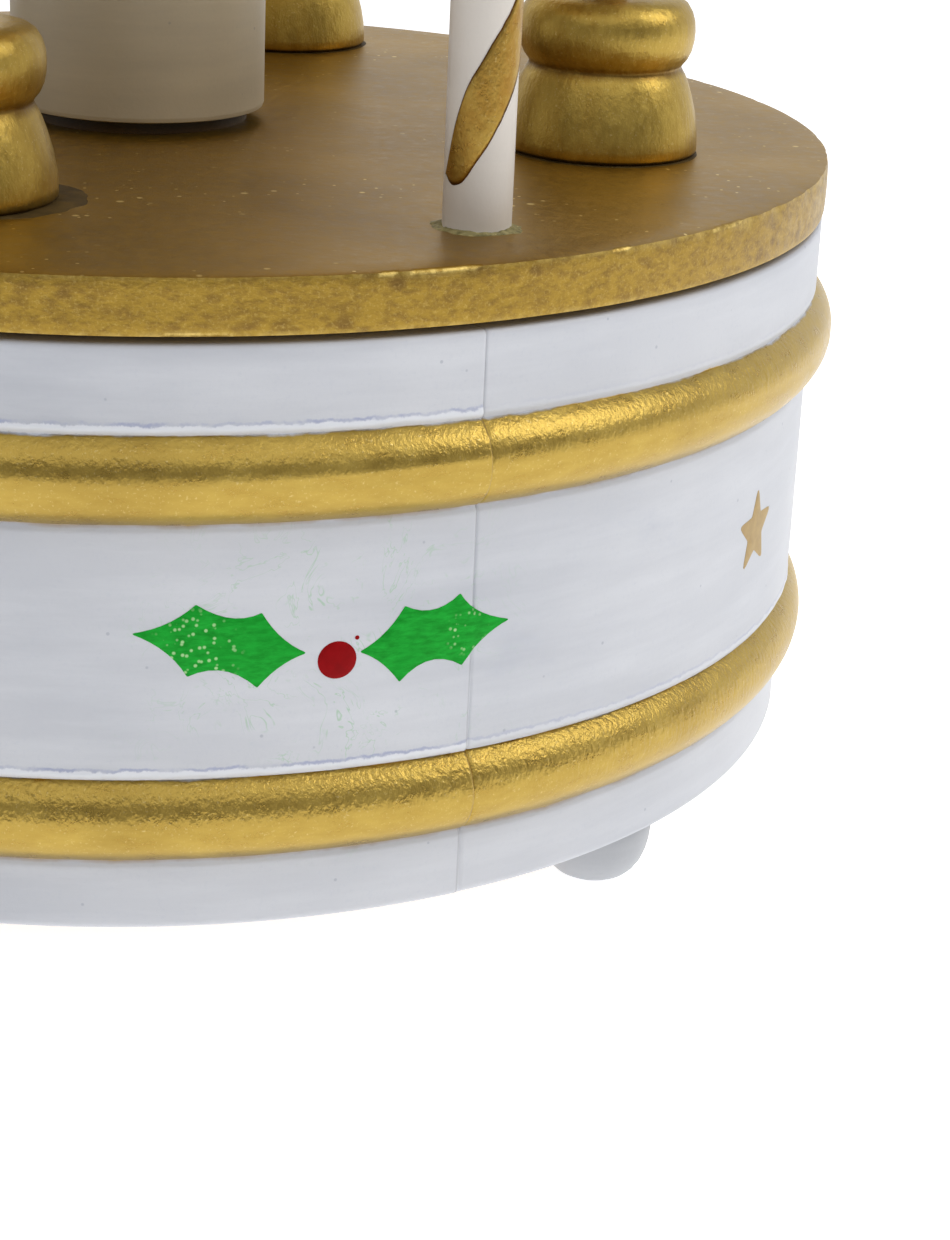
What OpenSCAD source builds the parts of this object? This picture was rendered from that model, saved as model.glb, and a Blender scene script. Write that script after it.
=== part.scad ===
// Carousel music box: a turned wooden drum on four ball feet holds a wound
// musical movement, which turns a gilt platform with a column, four striped
// poles, four horses on turned pedestals and a round canopy.
// Millimetres, +Z up, origin on the table under the centre of the drum.

/* [Base drum] */
// Diameter of the drum at its middle band
drum_d = 114; // [106:1:124]
// Height of the drum
drum_h = 42.7; // [41:0.1:48]
// Room between the movement and the wall of its chamber
chamber_gap = 1.5; // [1:0.1:2.5]
// Width of the ledge that the bottom board is screwed to
ledge_w = 5; // [4:0.1:5.5]
// Depth of the recess under the drum
recess_h = 9.5; // [9:0.1:11]
// Height of each gilt bead on the drum
bead_h = 6.5; // [5:0.1:8]
// How far a bead stands out from the drum
bead_out = 1.75; // [1:0.05:2.5]
// Height of the upper bead's middle above the drum's bottom edge
upper_bead_z = 32.6; // [31:0.1:35]
// Height of the lower bead's middle above the drum's bottom edge
lower_bead_z = 7.75; // [6.5:0.05:10]
// Radius of the rounded bottom edge of the drum
edge_r = 2.6; // [1.5:0.1:3]
// Thickness of the board that closes the drum below
floor_t = 3; // [2.5:0.1:4]
// Thickness of the board that closes the drum above
deck_t = 4; // [3:0.1:5]

/* [Feet] */
// Diameter of a foot
foot_d = 9; // [8:0.5:9]
// Height of a foot
foot_h = 5.5; // [5:0.1:7]
// Distance from the axis to a foot
foot_ring_r = 50.7; // [50:0.1:51]

/* [Platform] */
// Diameter of the turning platform
platform_d = 115; // [110:1:120]
// Thickness of the turning platform
platform_t = 4.1; // [3.8:0.1:6]
// Gap between the drum and the platform, which the washer fills
platform_gap = 0.5; // [0.3:0.1:1]

/* [Column and poles] */
// Diameter of the middle column
column_d = 20.9; // [18:0.1:26]
// Height of the narrow neck under the column
column_neck_h = 1.5; // [0.8:0.1:3]
// Diameter of a striped pole
pole_d = 5; // [4:0.1:6]
// Distance from the axis to a pole
pole_ring_r = 47.5; // [45:0.5:50]
// Direction of the first pole
pole_angle = -60; // [-62:1:-58]
// Clear height between the platform and the canopy
stage_h = 76; // [70:1:90]
// Depth of a socket that holds a pole or a rod
socket_h = 2.2; // [1.5:0.1:2.5]

/* [Figures] */
// Distance from the axis to the middle of a pedestal
figure_ring_r = 40; // [37:0.5:43]
// Diameter of a pedestal at its foot
pedestal_d = 15.8; // [14:0.1:17]
// Height of a pedestal
pedestal_h = 12.6; // [11:0.1:15]
// Diameter of the rod that carries a horse
rod_d = 3.2; // [2.5:0.1:3.5]
// Height of a horse's body above its pedestal
horse_h = 16.5; // [15.5:0.5:20]
// Diameter of a horse's body
horse_body_d = 8.6; // [8:0.1:9.5]
// Height of a rod's knob above the middle of its horse
knob_h = 12; // [10:0.5:16]

/* [Canopy] */
// Height of the turned rim of the canopy
rim_h = 15; // [12:0.5:20]
// Height of the roof above the rim
roof_h = 25; // [18:0.5:35]
// Thickness of the roof's wall
roof_t = 4; // [3:0.5:6]
// Diameter of the ball on the roof
finial_ball_d = 11; // [9:0.5:14]

/* [Movement] */
// Thickness of the movement's bedplate
plate_t = 2; // [1.6:0.1:2.4]
// Diameter of the spring barrel
barrel_d = 25.2; // [22:0.1:25.6]
// Height of the spring barrel
barrel_h = 13; // [11:0.1:14]
// Diameter of the brass tune cylinder without its pins
tune_d = 12.4; // [11:0.1:12.4]
// Length of the tune cylinder
tune_len = 13.5; // [12:0.1:13.7]
// How far a tune pin stands out
pin_out = 0.4; // [0.3:0.05:0.4]
// Diameter of the winding arbor
arbor_d = 5; // [4:0.1:5.6]
// Width of the winding key across its wings
key_w = 22; // [18:0.5:28]

/* [Clearances] */
// Radial clearance of a shaft that turns in its bearing
run_gap = 0.05; // [0.03:0.01:0.08]
// Radial clearance of a glued or pressed piece in its seat
seat_gap = 0.03; // [0.02:0.01:0.05]
// Clearance between gear teeth in mesh
mesh_gap = 0.05; // [0.03:0.01:0.1]

/* [Hidden] */
$fn = 64;
count = 4;

// Heights, from the table upwards
drum_z = foot_h;
drum_top = drum_z + drum_h;
floor_z = drum_z + recess_h;
plate_z = floor_z + floor_t;
plate_top = plate_z + plate_t;
deck_z = drum_top - deck_t;
platform_z = drum_top + platform_gap;
platform_top = platform_z + platform_t;
ceiling_z = platform_top + stage_h;
rim_z = ceiling_z + platform_t;
roof_z = rim_z + rim_h;
finial_z = roof_z + roof_h;

// Drum
drum_r = drum_d / 2;
deck_r = drum_r - 4;
upper_band = 0.3;
lower_band = -0.6;

// Platform and hub
platform_r = platform_d / 2;
arris = 0.35;
hub_flange_r = 11;
hub_flange_t = 1.6;
hub_sleeve_r = 4.5;
hub_screw_ring = 8.2;
bush_r = 6.5;
bush_flange_r = 9;
bush_flange_t = 0.8;
washer_r = [12.5, 18];
spigot_r = 6;
column_r = column_d / 2;
pole_r = pole_d / 2;
pole_at = [for (i = [0:count - 1]) pole_angle + i * 360 / count];

// Each pedestal is glued by eye: [angle, how far it stands outside the ring]
glued_at = [[-16.2, -1.1], [71, 3.5], [160, 0], [248.5, -3.2]];
figure_at = [for (g = glued_at) [g[0], figure_ring_r + g[1]]];
pedestal_r = pedestal_d / 2;
rod_r = rod_d / 2;
rod_bore = rod_r + seat_gap;
horse_z = platform_top + pedestal_h + horse_h;
rod_top = horse_z + knob_h;

// Canopy
canopy_set_in = 0.5;
rim_r = platform_r - canopy_set_in;
rim_wall = 7;
rim_bead_h = 4.4;
roof_foot_r = rim_r - 1.5;
roof_top_r = 8;

// Gear train: every tooth count keeps the same mesh at each quarter turn
wheel_teeth = 48;
pinion_teeth = 12;
crown_module = 0.6;
cylinder_wheel_teeth = 32;
idler_teeth = 8;
train_module = 0.4;
worm_wheel_teeth = 24;
worm_starts = 2;
worm_module = 0.32;

key_bore_z = drum_z + 3;
key_top = floor_z - 0.8;

ratchet_teeth = 12;
ratchet_t = 0.8;
ratchet_r = 6;
ratchet_root = 5.1;
ratchet_z = plate_top + 0.1;

crown_r = wheel_teeth * crown_module / 2;
crown_half = 0.9;
crown_t = 1.6;
crown_z = ratchet_z + ratchet_t + 0.2;
crown_top = crown_z + crown_t;
crown_pitch_z = crown_top + 0.7;
pinion_r = pinion_teeth * crown_module / 2;
axis_z = crown_pitch_z + pinion_r + mesh_gap;

barrel_r = barrel_d / 2;
barrel_wall = 0.8;
barrel_top = crown_top + barrel_h;
barrel_lid_t = 1.2;
arbor_r = arbor_d / 2;
arbor_thread_r = arbor_r - 0.75;
arbor_tip_r = arbor_r - 1;
shaft_r = 2.5;
shaft_flange_r = 6;
shaft_flange_t = 1;
shaft_top = platform_z + hub_flange_t;

// Places along the tune cylinder, measured from the drum's axis
pin_r = tune_d / 2 + pin_out;
inner_bearing_x = crown_r + crown_half + 0.3;
bearing_t = 1.2;
tune_x = inner_bearing_x + bearing_t + 0.6;
tune_end = tune_x + tune_len;
tune_wheel_x = tune_end + 0.3;
gear_w = 1.2;
outer_bearing_x = tune_wheel_x + gear_w + 0.8;
cyl_arbor_r = 1.2;
comb_teeth = 18;
comb_pitch = tune_len / comb_teeth;
comb_t = 0.9;
comb_tip_gap = 0.15;
comb_root_y = -(pin_r + comb_tip_gap + 5.7);
comb_back_y = comb_root_y - 5;
pad_gap = 1;
comb_screw_y = (comb_root_y + comb_back_y) / 2;

// Governor
idler_y = (cylinder_wheel_teeth + idler_teeth) * train_module / 2 + mesh_gap;
worm_wheel_r = worm_wheel_teeth * worm_module / 2;
worm_pitch_r = 1.5;
worm_out_r = 1.8;
worm_root_r = 1.15;
worm_lead = PI * worm_module * worm_starts;
worm_y = idler_y + worm_wheel_r + worm_pitch_r + mesh_gap;
worm_wheel_x = tune_wheel_x + gear_w + 0.6;
worm_x = worm_wheel_x + gear_w / 2;
idler_arbor_r = 0.6;
worm_pivot_r = 0.5;
gov_in_x = tune_end - 2.3;
gov_out_x = worm_x + worm_out_r + 0.4;
gov_base_t = 1.2;
gov_arm_z = axis_z + 4.6;
gov_y = [pin_r + 0.4, worm_y + 3.6];
fan_r = 3.7;
fan_h = 3.4;

plate_x = [-17, gov_out_x + bearing_t];
tab_x = plate_x[1] + 3;
plate_y = [comb_back_y, gov_y[1]];
mount_screws = [[-13, -13.5], [-13, 13.5], [22, 13.5]];
screw_r = 1;
screw_head_r = 1.9;
screw_head_h = 1.2;
click_pivot = [-10.6, -7.4];

// The chamber clears the movement, and the recess leaves a ledge for the board
chamber_r = tab_x + chamber_gap;
recess_r = chamber_r + ledge_w;
floor_r = recess_r - 0.2;
floor_screw_ring = (chamber_r + recess_r) / 2;

// ---- Shared shapes ----

// A bar along X, from x0 for length, round
module bar_x(x0, length, r) {
    translate([x0, 0, axis_z]) rotate([0, 90, 0]) cylinder(h = length, r = r);
}

// A rounded limb between two points, r1 at the first and r2 at the second
module limb(a, b, r1, r2) {
    hull() {
        translate(a) sphere(r = r1);
        translate(b) sphere(r = r2);
    }
}

// Outline of a gear with straight-sided teeth, one tooth centred on +X
module gear_outline(teeth, size, fill = 0.34) {
    r = teeth * size / 2;
    tip = r + size * 0.85;
    root = r - size * 1.05;
    step = 360 / teeth;
    polygon([for (i = [0:teeth - 1]) for (c = [[root, -fill - 0.12], [tip, -fill / 2.4],
        [tip, fill / 2.4], [root, fill + 0.12]])
        c[0] * [cos(step * (i + c[1] / 1.2)), sin(step * (i + c[1] / 1.2))]]);
}

// A toothed wheel across the tune cylinder's axis
module wheel_x(x0, width, teeth, size, turn, bore) {
    translate([x0, 0, 0]) rotate([90, 0, 90]) rotate(turn) linear_extrude(width) difference() {
        gear_outline(teeth, size);
        circle(r = bore);
    }
}

// A screw with its head at z = 0, its shank pointing up
module screw(length, r = screw_r, head_r = screw_head_r, head_h = screw_head_h) {
    difference() {
        union() {
            cylinder(h = length, r = r, $fn = 24);
            translate([0, 0, -head_h]) cylinder(h = head_h, r = head_r, $fn = 32);
        }
        translate([-head_r, -0.25, -head_h - 0.1]) cube([2 * head_r, 0.5, 0.6]);
    }
}

// Points of a bead's round back, from its lower to its upper edge
function bead_points(r, z, out, high) =
    let (big = (high * high / 4 + out * out) / (2 * out), half = asin(high / 2 / big))
    [for (i = [-8:8]) [r + out - big + big * cos(half * i / 8), z + big * sin(half * i / 8)]];

// ---- Base ----

module drum_shell() {
    lower_r = drum_r + lower_band;
    color([0.86, 0.87, 0.89]) difference() {
        rotate_extrude($fn = 180) polygon(concat(
            [[recess_r, drum_z], [lower_r - edge_r, drum_z]],
            [for (a = [-75:15:0]) [lower_r - edge_r + edge_r * cos(a), drum_z + edge_r + edge_r * sin(a)]],
            bead_points(lower_r + 0.3, drum_z + lower_bead_z, bead_out, bead_h),
            [[drum_r, drum_z + lower_bead_z + bead_h / 2 + 0.4],
             [drum_r, drum_z + upper_bead_z - bead_h / 2 - 0.4]],
            bead_points(drum_r + 0.1, drum_z + upper_bead_z, bead_out, bead_h),
            [[drum_r + upper_band, drum_z + upper_bead_z + bead_h / 2 + 0.4],
             [drum_r + upper_band, drum_top], [deck_r + seat_gap, drum_top],
             [deck_r + seat_gap, deck_z], [chamber_r, deck_z],
             [chamber_r, plate_z], [recess_r, plate_z]]));
        for (a = [0:90:270]) rotate(a) translate([floor_screw_ring, 0, plate_z - 1])
            cylinder(h = 7.2, r = screw_r + seat_gap, $fn = 24);
    }
}

module top_board() {
    color([0.80, 0.68, 0.48]) translate([0, 0, deck_z]) difference() {
        cylinder(h = deck_t, r = deck_r, $fn = 120);
        translate([0, 0, -1]) cylinder(h = deck_t + 2, r = bush_r + seat_gap);
    }
}

module deck_bush() {
    color([0.80, 0.64, 0.28]) difference() {
        union() {
            translate([0, 0, deck_z]) cylinder(h = deck_t, r = bush_r);
            translate([0, 0, deck_z - bush_flange_t]) cylinder(h = bush_flange_t, r = bush_flange_r);
        }
        translate([0, 0, deck_z - 2]) cylinder(h = deck_t + 4, r = hub_sleeve_r + run_gap);
    }
}

module thrust_washer() {
    color([0.92, 0.92, 0.90]) translate([0, 0, drum_top]) difference() {
        cylinder(h = platform_gap, r = washer_r[1]);
        translate([0, 0, -1]) cylinder(h = platform_gap + 2, r = washer_r[0]);
    }
}

module bottom_board() {
    color([0.80, 0.68, 0.48]) difference() {
        translate([0, 0, floor_z]) cylinder(h = floor_t, r = floor_r, $fn = 120);
        translate([0, 0, floor_z - 1]) {
            cylinder(h = floor_t + 2, r = arbor_r + 1);
            for (p = mount_screws) translate(p) cylinder(h = floor_t + 2, r = screw_r + seat_gap, $fn = 24);
            for (a = [0:90:270]) rotate(a) translate([floor_screw_ring, 0, 0])
                cylinder(h = floor_t + 2, r = screw_r + seat_gap, $fn = 24);
        }
    }
}

module bottom_board_screws() {
    color([0.72, 0.70, 0.62]) for (a = [0:90:270]) rotate(a)
        translate([floor_screw_ring, 0, floor_z]) screw(floor_t + 6);
}

module foot(i) {
    ball_r = foot_d / 2;
    ball_z = ball_r - 0.2;
    color([0.86, 0.88, 0.90]) rotate(-45 + 90 * (i - 1)) translate([foot_ring_r, 0, 0])
        intersection() {
            union() {
                translate([0, 0, ball_z]) sphere(r = ball_r, $fn = 48);
                translate([0, 0, ball_z]) cylinder(h = foot_h - ball_z, r = ball_r, $fn = 48);
            }
            cylinder(h = foot_h, r = foot_d);
        }
}

// ---- Movement, fixed pieces ----

module bedplate() {
    cut = 4;
    pad_x = [tune_x - pad_gap, tune_end + pad_gap];
    color([0.62, 0.63, 0.64]) difference() {
        union() {
            translate([0, 0, plate_z]) linear_extrude(plate_t) polygon([
                [plate_x[0] + cut, plate_y[0]], [plate_x[1], plate_y[0]],
                [plate_x[1], -4], [tab_x, -4], [tab_x, 4], [plate_x[1], 4],
                [plate_x[1], plate_y[1]], [plate_x[0] + cut, plate_y[1]],
                [plate_x[0], plate_y[1] - cut], [plate_x[0], plate_y[0] + cut]]);
            translate([pad_x[0], comb_back_y, plate_z])
                cube([pad_x[1] - pad_x[0], comb_root_y - comb_back_y - 0.6, axis_z - comb_t / 2 - plate_z]);
            translate([click_pivot[0], click_pivot[1], plate_z])
                cylinder(h = plate_t + 0.1 + ratchet_t, r = 0.8, $fn = 24);
        }
        translate([0, 0, plate_z - 1]) cylinder(h = plate_t + 2, r = arbor_r + run_gap);
        for (p = mount_screws) translate([p[0], p[1], plate_z - 1])
            cylinder(h = plate_t + 2, r = screw_r + seat_gap, $fn = 24);
        for (p = plate_screw_at) translate([p[0], p[1], plate_z - 1])
            cylinder(h = plate_t + 2, r = screw_r + seat_gap, $fn = 24);
        for (x = comb_screw_x) translate([x, comb_screw_y, axis_z - 5])
            cylinder(h = 6, r = screw_r + seat_gap, $fn = 24);
    }
}

// Places of the small screws on the bedplate and on the comb
bearing_foot_y = [pin_r + 0.9, pin_r + 5];
inner_screw = [inner_bearing_x + 3.4, (bearing_foot_y[0] + bearing_foot_y[1]) / 2];
outer_screw = [outer_bearing_x + bearing_t + 2.2, 0];
gov_screw = [gov_in_x + 2.2, gov_y[1] - 2.2];
plate_screw_at = [inner_screw, outer_screw, gov_screw];
comb_screw_x = [tune_x + 2.2, tune_end - 2.2];

module movement_screws() {
    color([0.75, 0.76, 0.78]) for (p = mount_screws) translate([p[0], p[1], floor_z])
        screw(floor_t + plate_t);
}

module plate_screws() {
    color([0.75, 0.76, 0.78]) for (p = plate_screw_at)
        translate([p[0], p[1], plate_top + gov_base_t]) mirror([0, 0, 1])
            screw(gov_base_t + plate_t, head_r = 1.6, head_h = 1);
}

module cylinder_bearing_inner() {
    color([0.66, 0.67, 0.68]) difference() {
        union() {
            translate([inner_bearing_x, -3.3, plate_top])
                cube([bearing_t, bearing_foot_y[1] + 3.3, axis_z + 3.2 - plate_top]);
            translate([inner_bearing_x, bearing_foot_y[0], plate_top])
                cube([5.6, bearing_foot_y[1] - bearing_foot_y[0], gov_base_t]);
        }
        bar_x(inner_bearing_x - 1, bearing_t + 2, cyl_arbor_r + run_gap);
        translate([inner_screw[0], inner_screw[1], plate_top - 1])
            cylinder(h = gov_base_t + 2, r = screw_r + seat_gap, $fn = 24);
    }
}

module cylinder_bearing_outer() {
    color([0.66, 0.67, 0.68]) difference() {
        union() {
            translate([outer_bearing_x, -3.3, plate_top]) cube([bearing_t, 6.6, axis_z + 3.2 - plate_top]);
            translate([outer_bearing_x, -3.3, plate_top]) cube([bearing_t + 4.2, 6.6, gov_base_t]);
        }
        bar_x(outer_bearing_x - 1, bearing_t + 2, cyl_arbor_r + run_gap);
        translate([outer_screw[0], outer_screw[1], plate_top - 1])
            cylinder(h = gov_base_t + 2, r = screw_r + seat_gap, $fn = 24);
    }
}

module music_comb() {
    tine_w = comb_pitch * 0.72;
    color([0.70, 0.72, 0.75]) difference() {
        translate([0, 0, axis_z - comb_t / 2]) union() {
            translate([tune_x, comb_back_y, 0]) cube([tune_len, comb_root_y - comb_back_y, comb_t]);
            for (i = [0:comb_teeth - 1]) translate([tune_x + comb_pitch * (i + 0.5) - tine_w / 2, comb_root_y - 0.1, 0])
                cube([tine_w, -comb_root_y - pin_r - comb_tip_gap + 0.1, comb_t]);
        }
        for (x = comb_screw_x) translate([x, comb_screw_y, axis_z - 2])
            cylinder(h = 4, r = screw_r + seat_gap, $fn = 24);
    }
}

module comb_screws() {
    color([0.75, 0.76, 0.78]) for (x = comb_screw_x) translate([x, comb_screw_y, axis_z + comb_t / 2])
        mirror([0, 0, 1]) screw(5, head_r = 1.7, head_h = 1);
}

module governor_frame() {
    arm_y = [worm_y - 1.6, worm_y + 1.6];
    color([0.66, 0.67, 0.68]) difference() {
        union() {
            translate([gov_in_x, gov_y[0], plate_top])
                cube([gov_out_x + bearing_t - gov_in_x, gov_y[1] - gov_y[0], gov_base_t]);
            translate([gov_in_x, gov_y[0], plate_top])
                cube([bearing_t, idler_y + 1.9 - gov_y[0], axis_z + 1.9 - plate_top]);
            translate([gov_out_x, gov_y[0], plate_top])
                cube([bearing_t, arm_y[1] - gov_y[0], axis_z + 1.9 - plate_top]);
            translate([gov_out_x, arm_y[0], plate_top])
                cube([bearing_t, arm_y[1] - arm_y[0], gov_arm_z + bearing_t - plate_top]);
            translate([worm_x - 1.6, arm_y[0], gov_arm_z])
                cube([gov_out_x + bearing_t - worm_x + 1.6, arm_y[1] - arm_y[0], bearing_t]);
        }
        translate([0, idler_y, 0]) bar_x(gov_in_x - 1, gov_out_x - gov_in_x + 4, idler_arbor_r + run_gap);
        translate([worm_x, worm_y, plate_top + 0.3]) cylinder(h = 2, r = worm_pivot_r + run_gap, $fn = 24);
        translate([worm_x, worm_y, gov_arm_z - 1]) cylinder(h = 4, r = worm_pivot_r + run_gap, $fn = 24);
        translate([gov_screw[0], gov_screw[1], plate_top - 1])
            cylinder(h = gov_base_t + 2, r = screw_r + seat_gap, $fn = 24);
    }
}

// ---- Movement, moving pieces ----

module spring_barrel() {
    color([0.78, 0.66, 0.36]) difference() {
        translate([0, 0, crown_top]) cylinder(h = barrel_h, r = barrel_r);
        translate([0, 0, crown_top - 1])
            cylinder(h = barrel_h - barrel_lid_t + 1, r = barrel_r - barrel_wall);
        translate([0, 0, crown_top]) cylinder(h = barrel_h + 1, r = arbor_tip_r + run_gap);
    }
}

module barrel_wheel() {
    tooth = 0.33;
    step = 360 / wheel_teeth;
    r0 = crown_r - crown_half;
    r1 = crown_r + crown_half;
    color([0.80, 0.66, 0.32]) difference() {
        union() {
            translate([0, 0, crown_z]) cylinder(h = crown_t, r = r1, $fn = 96);
            translate([0, 0, crown_top - 0.2]) linear_extrude(crown_pitch_z + 0.5 - crown_top + 0.2)
                for (i = [0:wheel_teeth - 1]) rotate((i + 0.5) * step) polygon([
                    [r0, -tooth + 0.04], [r1 - 0.05, -tooth], [r1 - 0.05, tooth], [r0, tooth - 0.04]]);
        }
        translate([0, 0, crown_z - 1]) cylinder(h = crown_t + 2, r = arbor_r + run_gap);
    }
}

module mainspring() {
    inner = arbor_r + 0.4;
    outer = barrel_r - barrel_wall - 0.5;
    turns = 7;
    steps = 98;
    strip = 0.35;
    radius = [for (i = [0:steps]) inner + (outer - inner) * i / steps];
    turn = 360 * turns / steps;
    color([0.35, 0.38, 0.45]) translate([0, 0, crown_top + 0.3])
        linear_extrude(barrel_h - barrel_lid_t - 0.6) polygon(concat(
            [for (i = [0:steps]) radius[i] * [cos(turn * i), sin(turn * i)]],
            [for (i = [steps:-1:0]) (radius[i] + strip) * [cos(turn * i), sin(turn * i)]]));
}

module drive_shaft() {
    color([0.72, 0.74, 0.76]) translate([0, 0, barrel_top]) {
        cylinder(h = shaft_flange_t, r = shaft_flange_r);
        cylinder(h = shaft_top - barrel_top, r = shaft_r);
    }
}

module winding_arbor() {
    step_z = floor_z + 1;
    color([0.70, 0.72, 0.75]) {
        translate([0, 0, key_bore_z + 0.3]) cylinder(h = step_z - key_bore_z - 0.3, r = arbor_thread_r);
        translate([0, 0, step_z]) cylinder(h = barrel_top - barrel_lid_t - 0.3 - step_z, r = arbor_r);
        translate([0, 0, step_z]) cylinder(h = barrel_top - 0.3 - step_z, r = arbor_tip_r);
    }
}

module ratchet_wheel() {
    step = 360 / ratchet_teeth;
    color([0.72, 0.73, 0.75]) translate([0, 0, ratchet_z]) linear_extrude(ratchet_t) difference() {
        polygon([for (i = [0:ratchet_teeth - 1]) for (c = [[ratchet_root, 0], [ratchet_r, 0.06]])
            c[0] * [cos(step * (i + c[1])), sin(step * (i + c[1]))]]);
        circle(r = arbor_r + seat_gap);
    }
}

module click() {
    // The tip rests just before the steep face of one ratchet tooth
    tip_r = ratchet_root + 0.35;
    tip_a = 360 / ratchet_teeth * 9 - 2;
    tip = tip_r * [cos(tip_a), sin(tip_a)];
    along = (click_pivot - tip) / norm(click_pivot - tip);
    side = [-along[1], along[0]];
    root = click_pivot - along * 1.2;
    color([0.60, 0.62, 0.66]) difference() {
        union() {
            translate([0, 0, ratchet_z]) linear_extrude(ratchet_t)
                polygon([tip, root - side * 0.9, root + side * 0.9]);
            translate([click_pivot[0], click_pivot[1], ratchet_z]) cylinder(h = ratchet_t, r = 1.6, $fn = 32);
        }
        translate([click_pivot[0], click_pivot[1], ratchet_z - 1])
            cylinder(h = ratchet_t + 2, r = 0.8 + run_gap, $fn = 24);
    }
}

module winding_key() {
    wing_r = 4.1;
    wing_z = 2.6 + wing_r;
    wing_t = 1.8;
    color([0.78, 0.66, 0.34]) difference() {
        union() {
            translate([0, 0, wing_z]) cylinder(h = key_top - wing_z, r = 3);
            for (s = [-1, 1]) translate([s * (key_w / 2 - wing_r), wing_t / 2, wing_z])
                rotate([90, 0, 0]) cylinder(h = wing_t, r = wing_r, $fn = 48);
            translate([-key_w / 2 + wing_r, -wing_t / 2, wing_z - 1.6])
                cube([key_w - 2 * wing_r, wing_t, 4.2]);
        }
        for (s = [-1, 1]) translate([s * (key_w / 2 - wing_r), 2, wing_z])
            rotate([90, 0, 0]) cylinder(h = 4, r = 1.9, $fn = 32);
        translate([0, 0, key_bore_z]) cylinder(h = 10, r = arbor_thread_r + seat_gap, $fn = 32);
    }
}

module tune_cylinder() {
    pins = 3;
    color([0.82, 0.68, 0.34]) {
        difference() {
            bar_x(tune_x, tune_len, tune_d / 2);
            bar_x(tune_x - 1, tune_len + 2, cyl_arbor_r + seat_gap);
        }
        for (i = [0:comb_teeth - 1]) for (k = [0:pins - 1])
            translate([tune_x + comb_pitch * (i + 0.5), 0, axis_z])
                rotate([i * 67 + k * 113 + 20, 0, 0]) translate([0, 0, tune_d / 2 - 0.5])
                    cylinder(h = 0.5 + pin_out, r = 0.14, $fn = 8);
    }
}

module cylinder_arbor() {
    start = crown_r - crown_half - 0.2;
    color([0.70, 0.72, 0.75]) bar_x(start, outer_bearing_x + bearing_t + 0.4 - start, cyl_arbor_r);
}

module cylinder_pinion() {
    color([0.80, 0.66, 0.32]) translate([0, 0, axis_z])
        wheel_x(crown_r - crown_half, 2 * crown_half, pinion_teeth, crown_module, 0, cyl_arbor_r + seat_gap);
}

module cylinder_wheel() {
    color([0.80, 0.66, 0.32]) translate([0, 0, axis_z])
        wheel_x(tune_wheel_x, gear_w, cylinder_wheel_teeth, train_module, 0, cyl_arbor_r + seat_gap);
}

module governor_idler() {
    color([0.80, 0.66, 0.32]) translate([0, idler_y, 0]) {
        bar_x(gov_in_x - 0.2, gov_out_x + bearing_t - gov_in_x + 0.4, idler_arbor_r, $fn = 24);
        translate([0, 0, axis_z]) {
            wheel_x(tune_wheel_x, gear_w, idler_teeth, train_module, 180 / idler_teeth, 0.3);
            wheel_x(worm_wheel_x, gear_w, worm_wheel_teeth, worm_module, 180 / worm_wheel_teeth, 0.3);
        }
    }
}

// Points of the worm's thread: each section is a small ridge on the root bar
function thread_section(turn) =
    let (z = worm_lead * turn / 360, thin = 0.1, wide = 0.19)
    [for (p = [[worm_root_r - 0.2, -wide], [worm_out_r, -thin], [worm_out_r, thin], [worm_root_r - 0.2, wide]])
        [p[0] * cos(turn), p[0] * sin(turn), z + p[1]]];

module worm_thread() {
    turns = 3;
    steps = 16 * turns;
    rings = [for (i = [0:steps]) thread_section(360 * turns * (i / steps - 0.5))];
    polyhedron(
        points = [for (ring = rings) for (p = ring) p],
        faces = concat([[3, 2, 1, 0]],
            [for (i = [0:steps - 1]) for (k = [0:3]) for (t = [0, 1])
                let (a = 4 * i + k, b = 4 * i + (k + 1) % 4)
                t == 0 ? [a, b, b + 4] : [a, b + 4, a + 4]],
            [[for (k = [0:3]) 4 * steps + k]]));
}

module governor_worm() {
    bottom = plate_top + 0.5;
    body = [plate_top + gov_base_t + 0.3, gov_arm_z - 0.3];
    color([0.75, 0.76, 0.78]) translate([worm_x, worm_y, 0]) {
        translate([0, 0, bottom]) cylinder(h = gov_arm_z + bearing_t + 0.3 + fan_h - bottom, r = worm_pivot_r, $fn = 24);
        translate([0, 0, body[0]]) cylinder(h = body[1] - body[0], r = worm_root_r, $fn = 32);
        for (s = [0:worm_starts - 1]) translate([0, 0, axis_z]) rotate(-90 + 360 / worm_starts * s)
            worm_thread();
    }
}

module governor_fan() {
    z0 = gov_arm_z + bearing_t + 0.3;
    color([0.88, 0.88, 0.86]) translate([worm_x, worm_y, z0]) difference() {
        union() {
            cylinder(h = fan_h, r = 1.1, $fn = 32);
            translate([-fan_r, -0.25, 0.2]) cube([2 * fan_r, 0.5, fan_h - 0.4]);
        }
        translate([0, 0, -1]) cylinder(h = fan_h + 2, r = worm_pivot_r + seat_gap, $fn = 24);
    }
}

// ---- Turning platform and what stands on it ----

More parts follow.
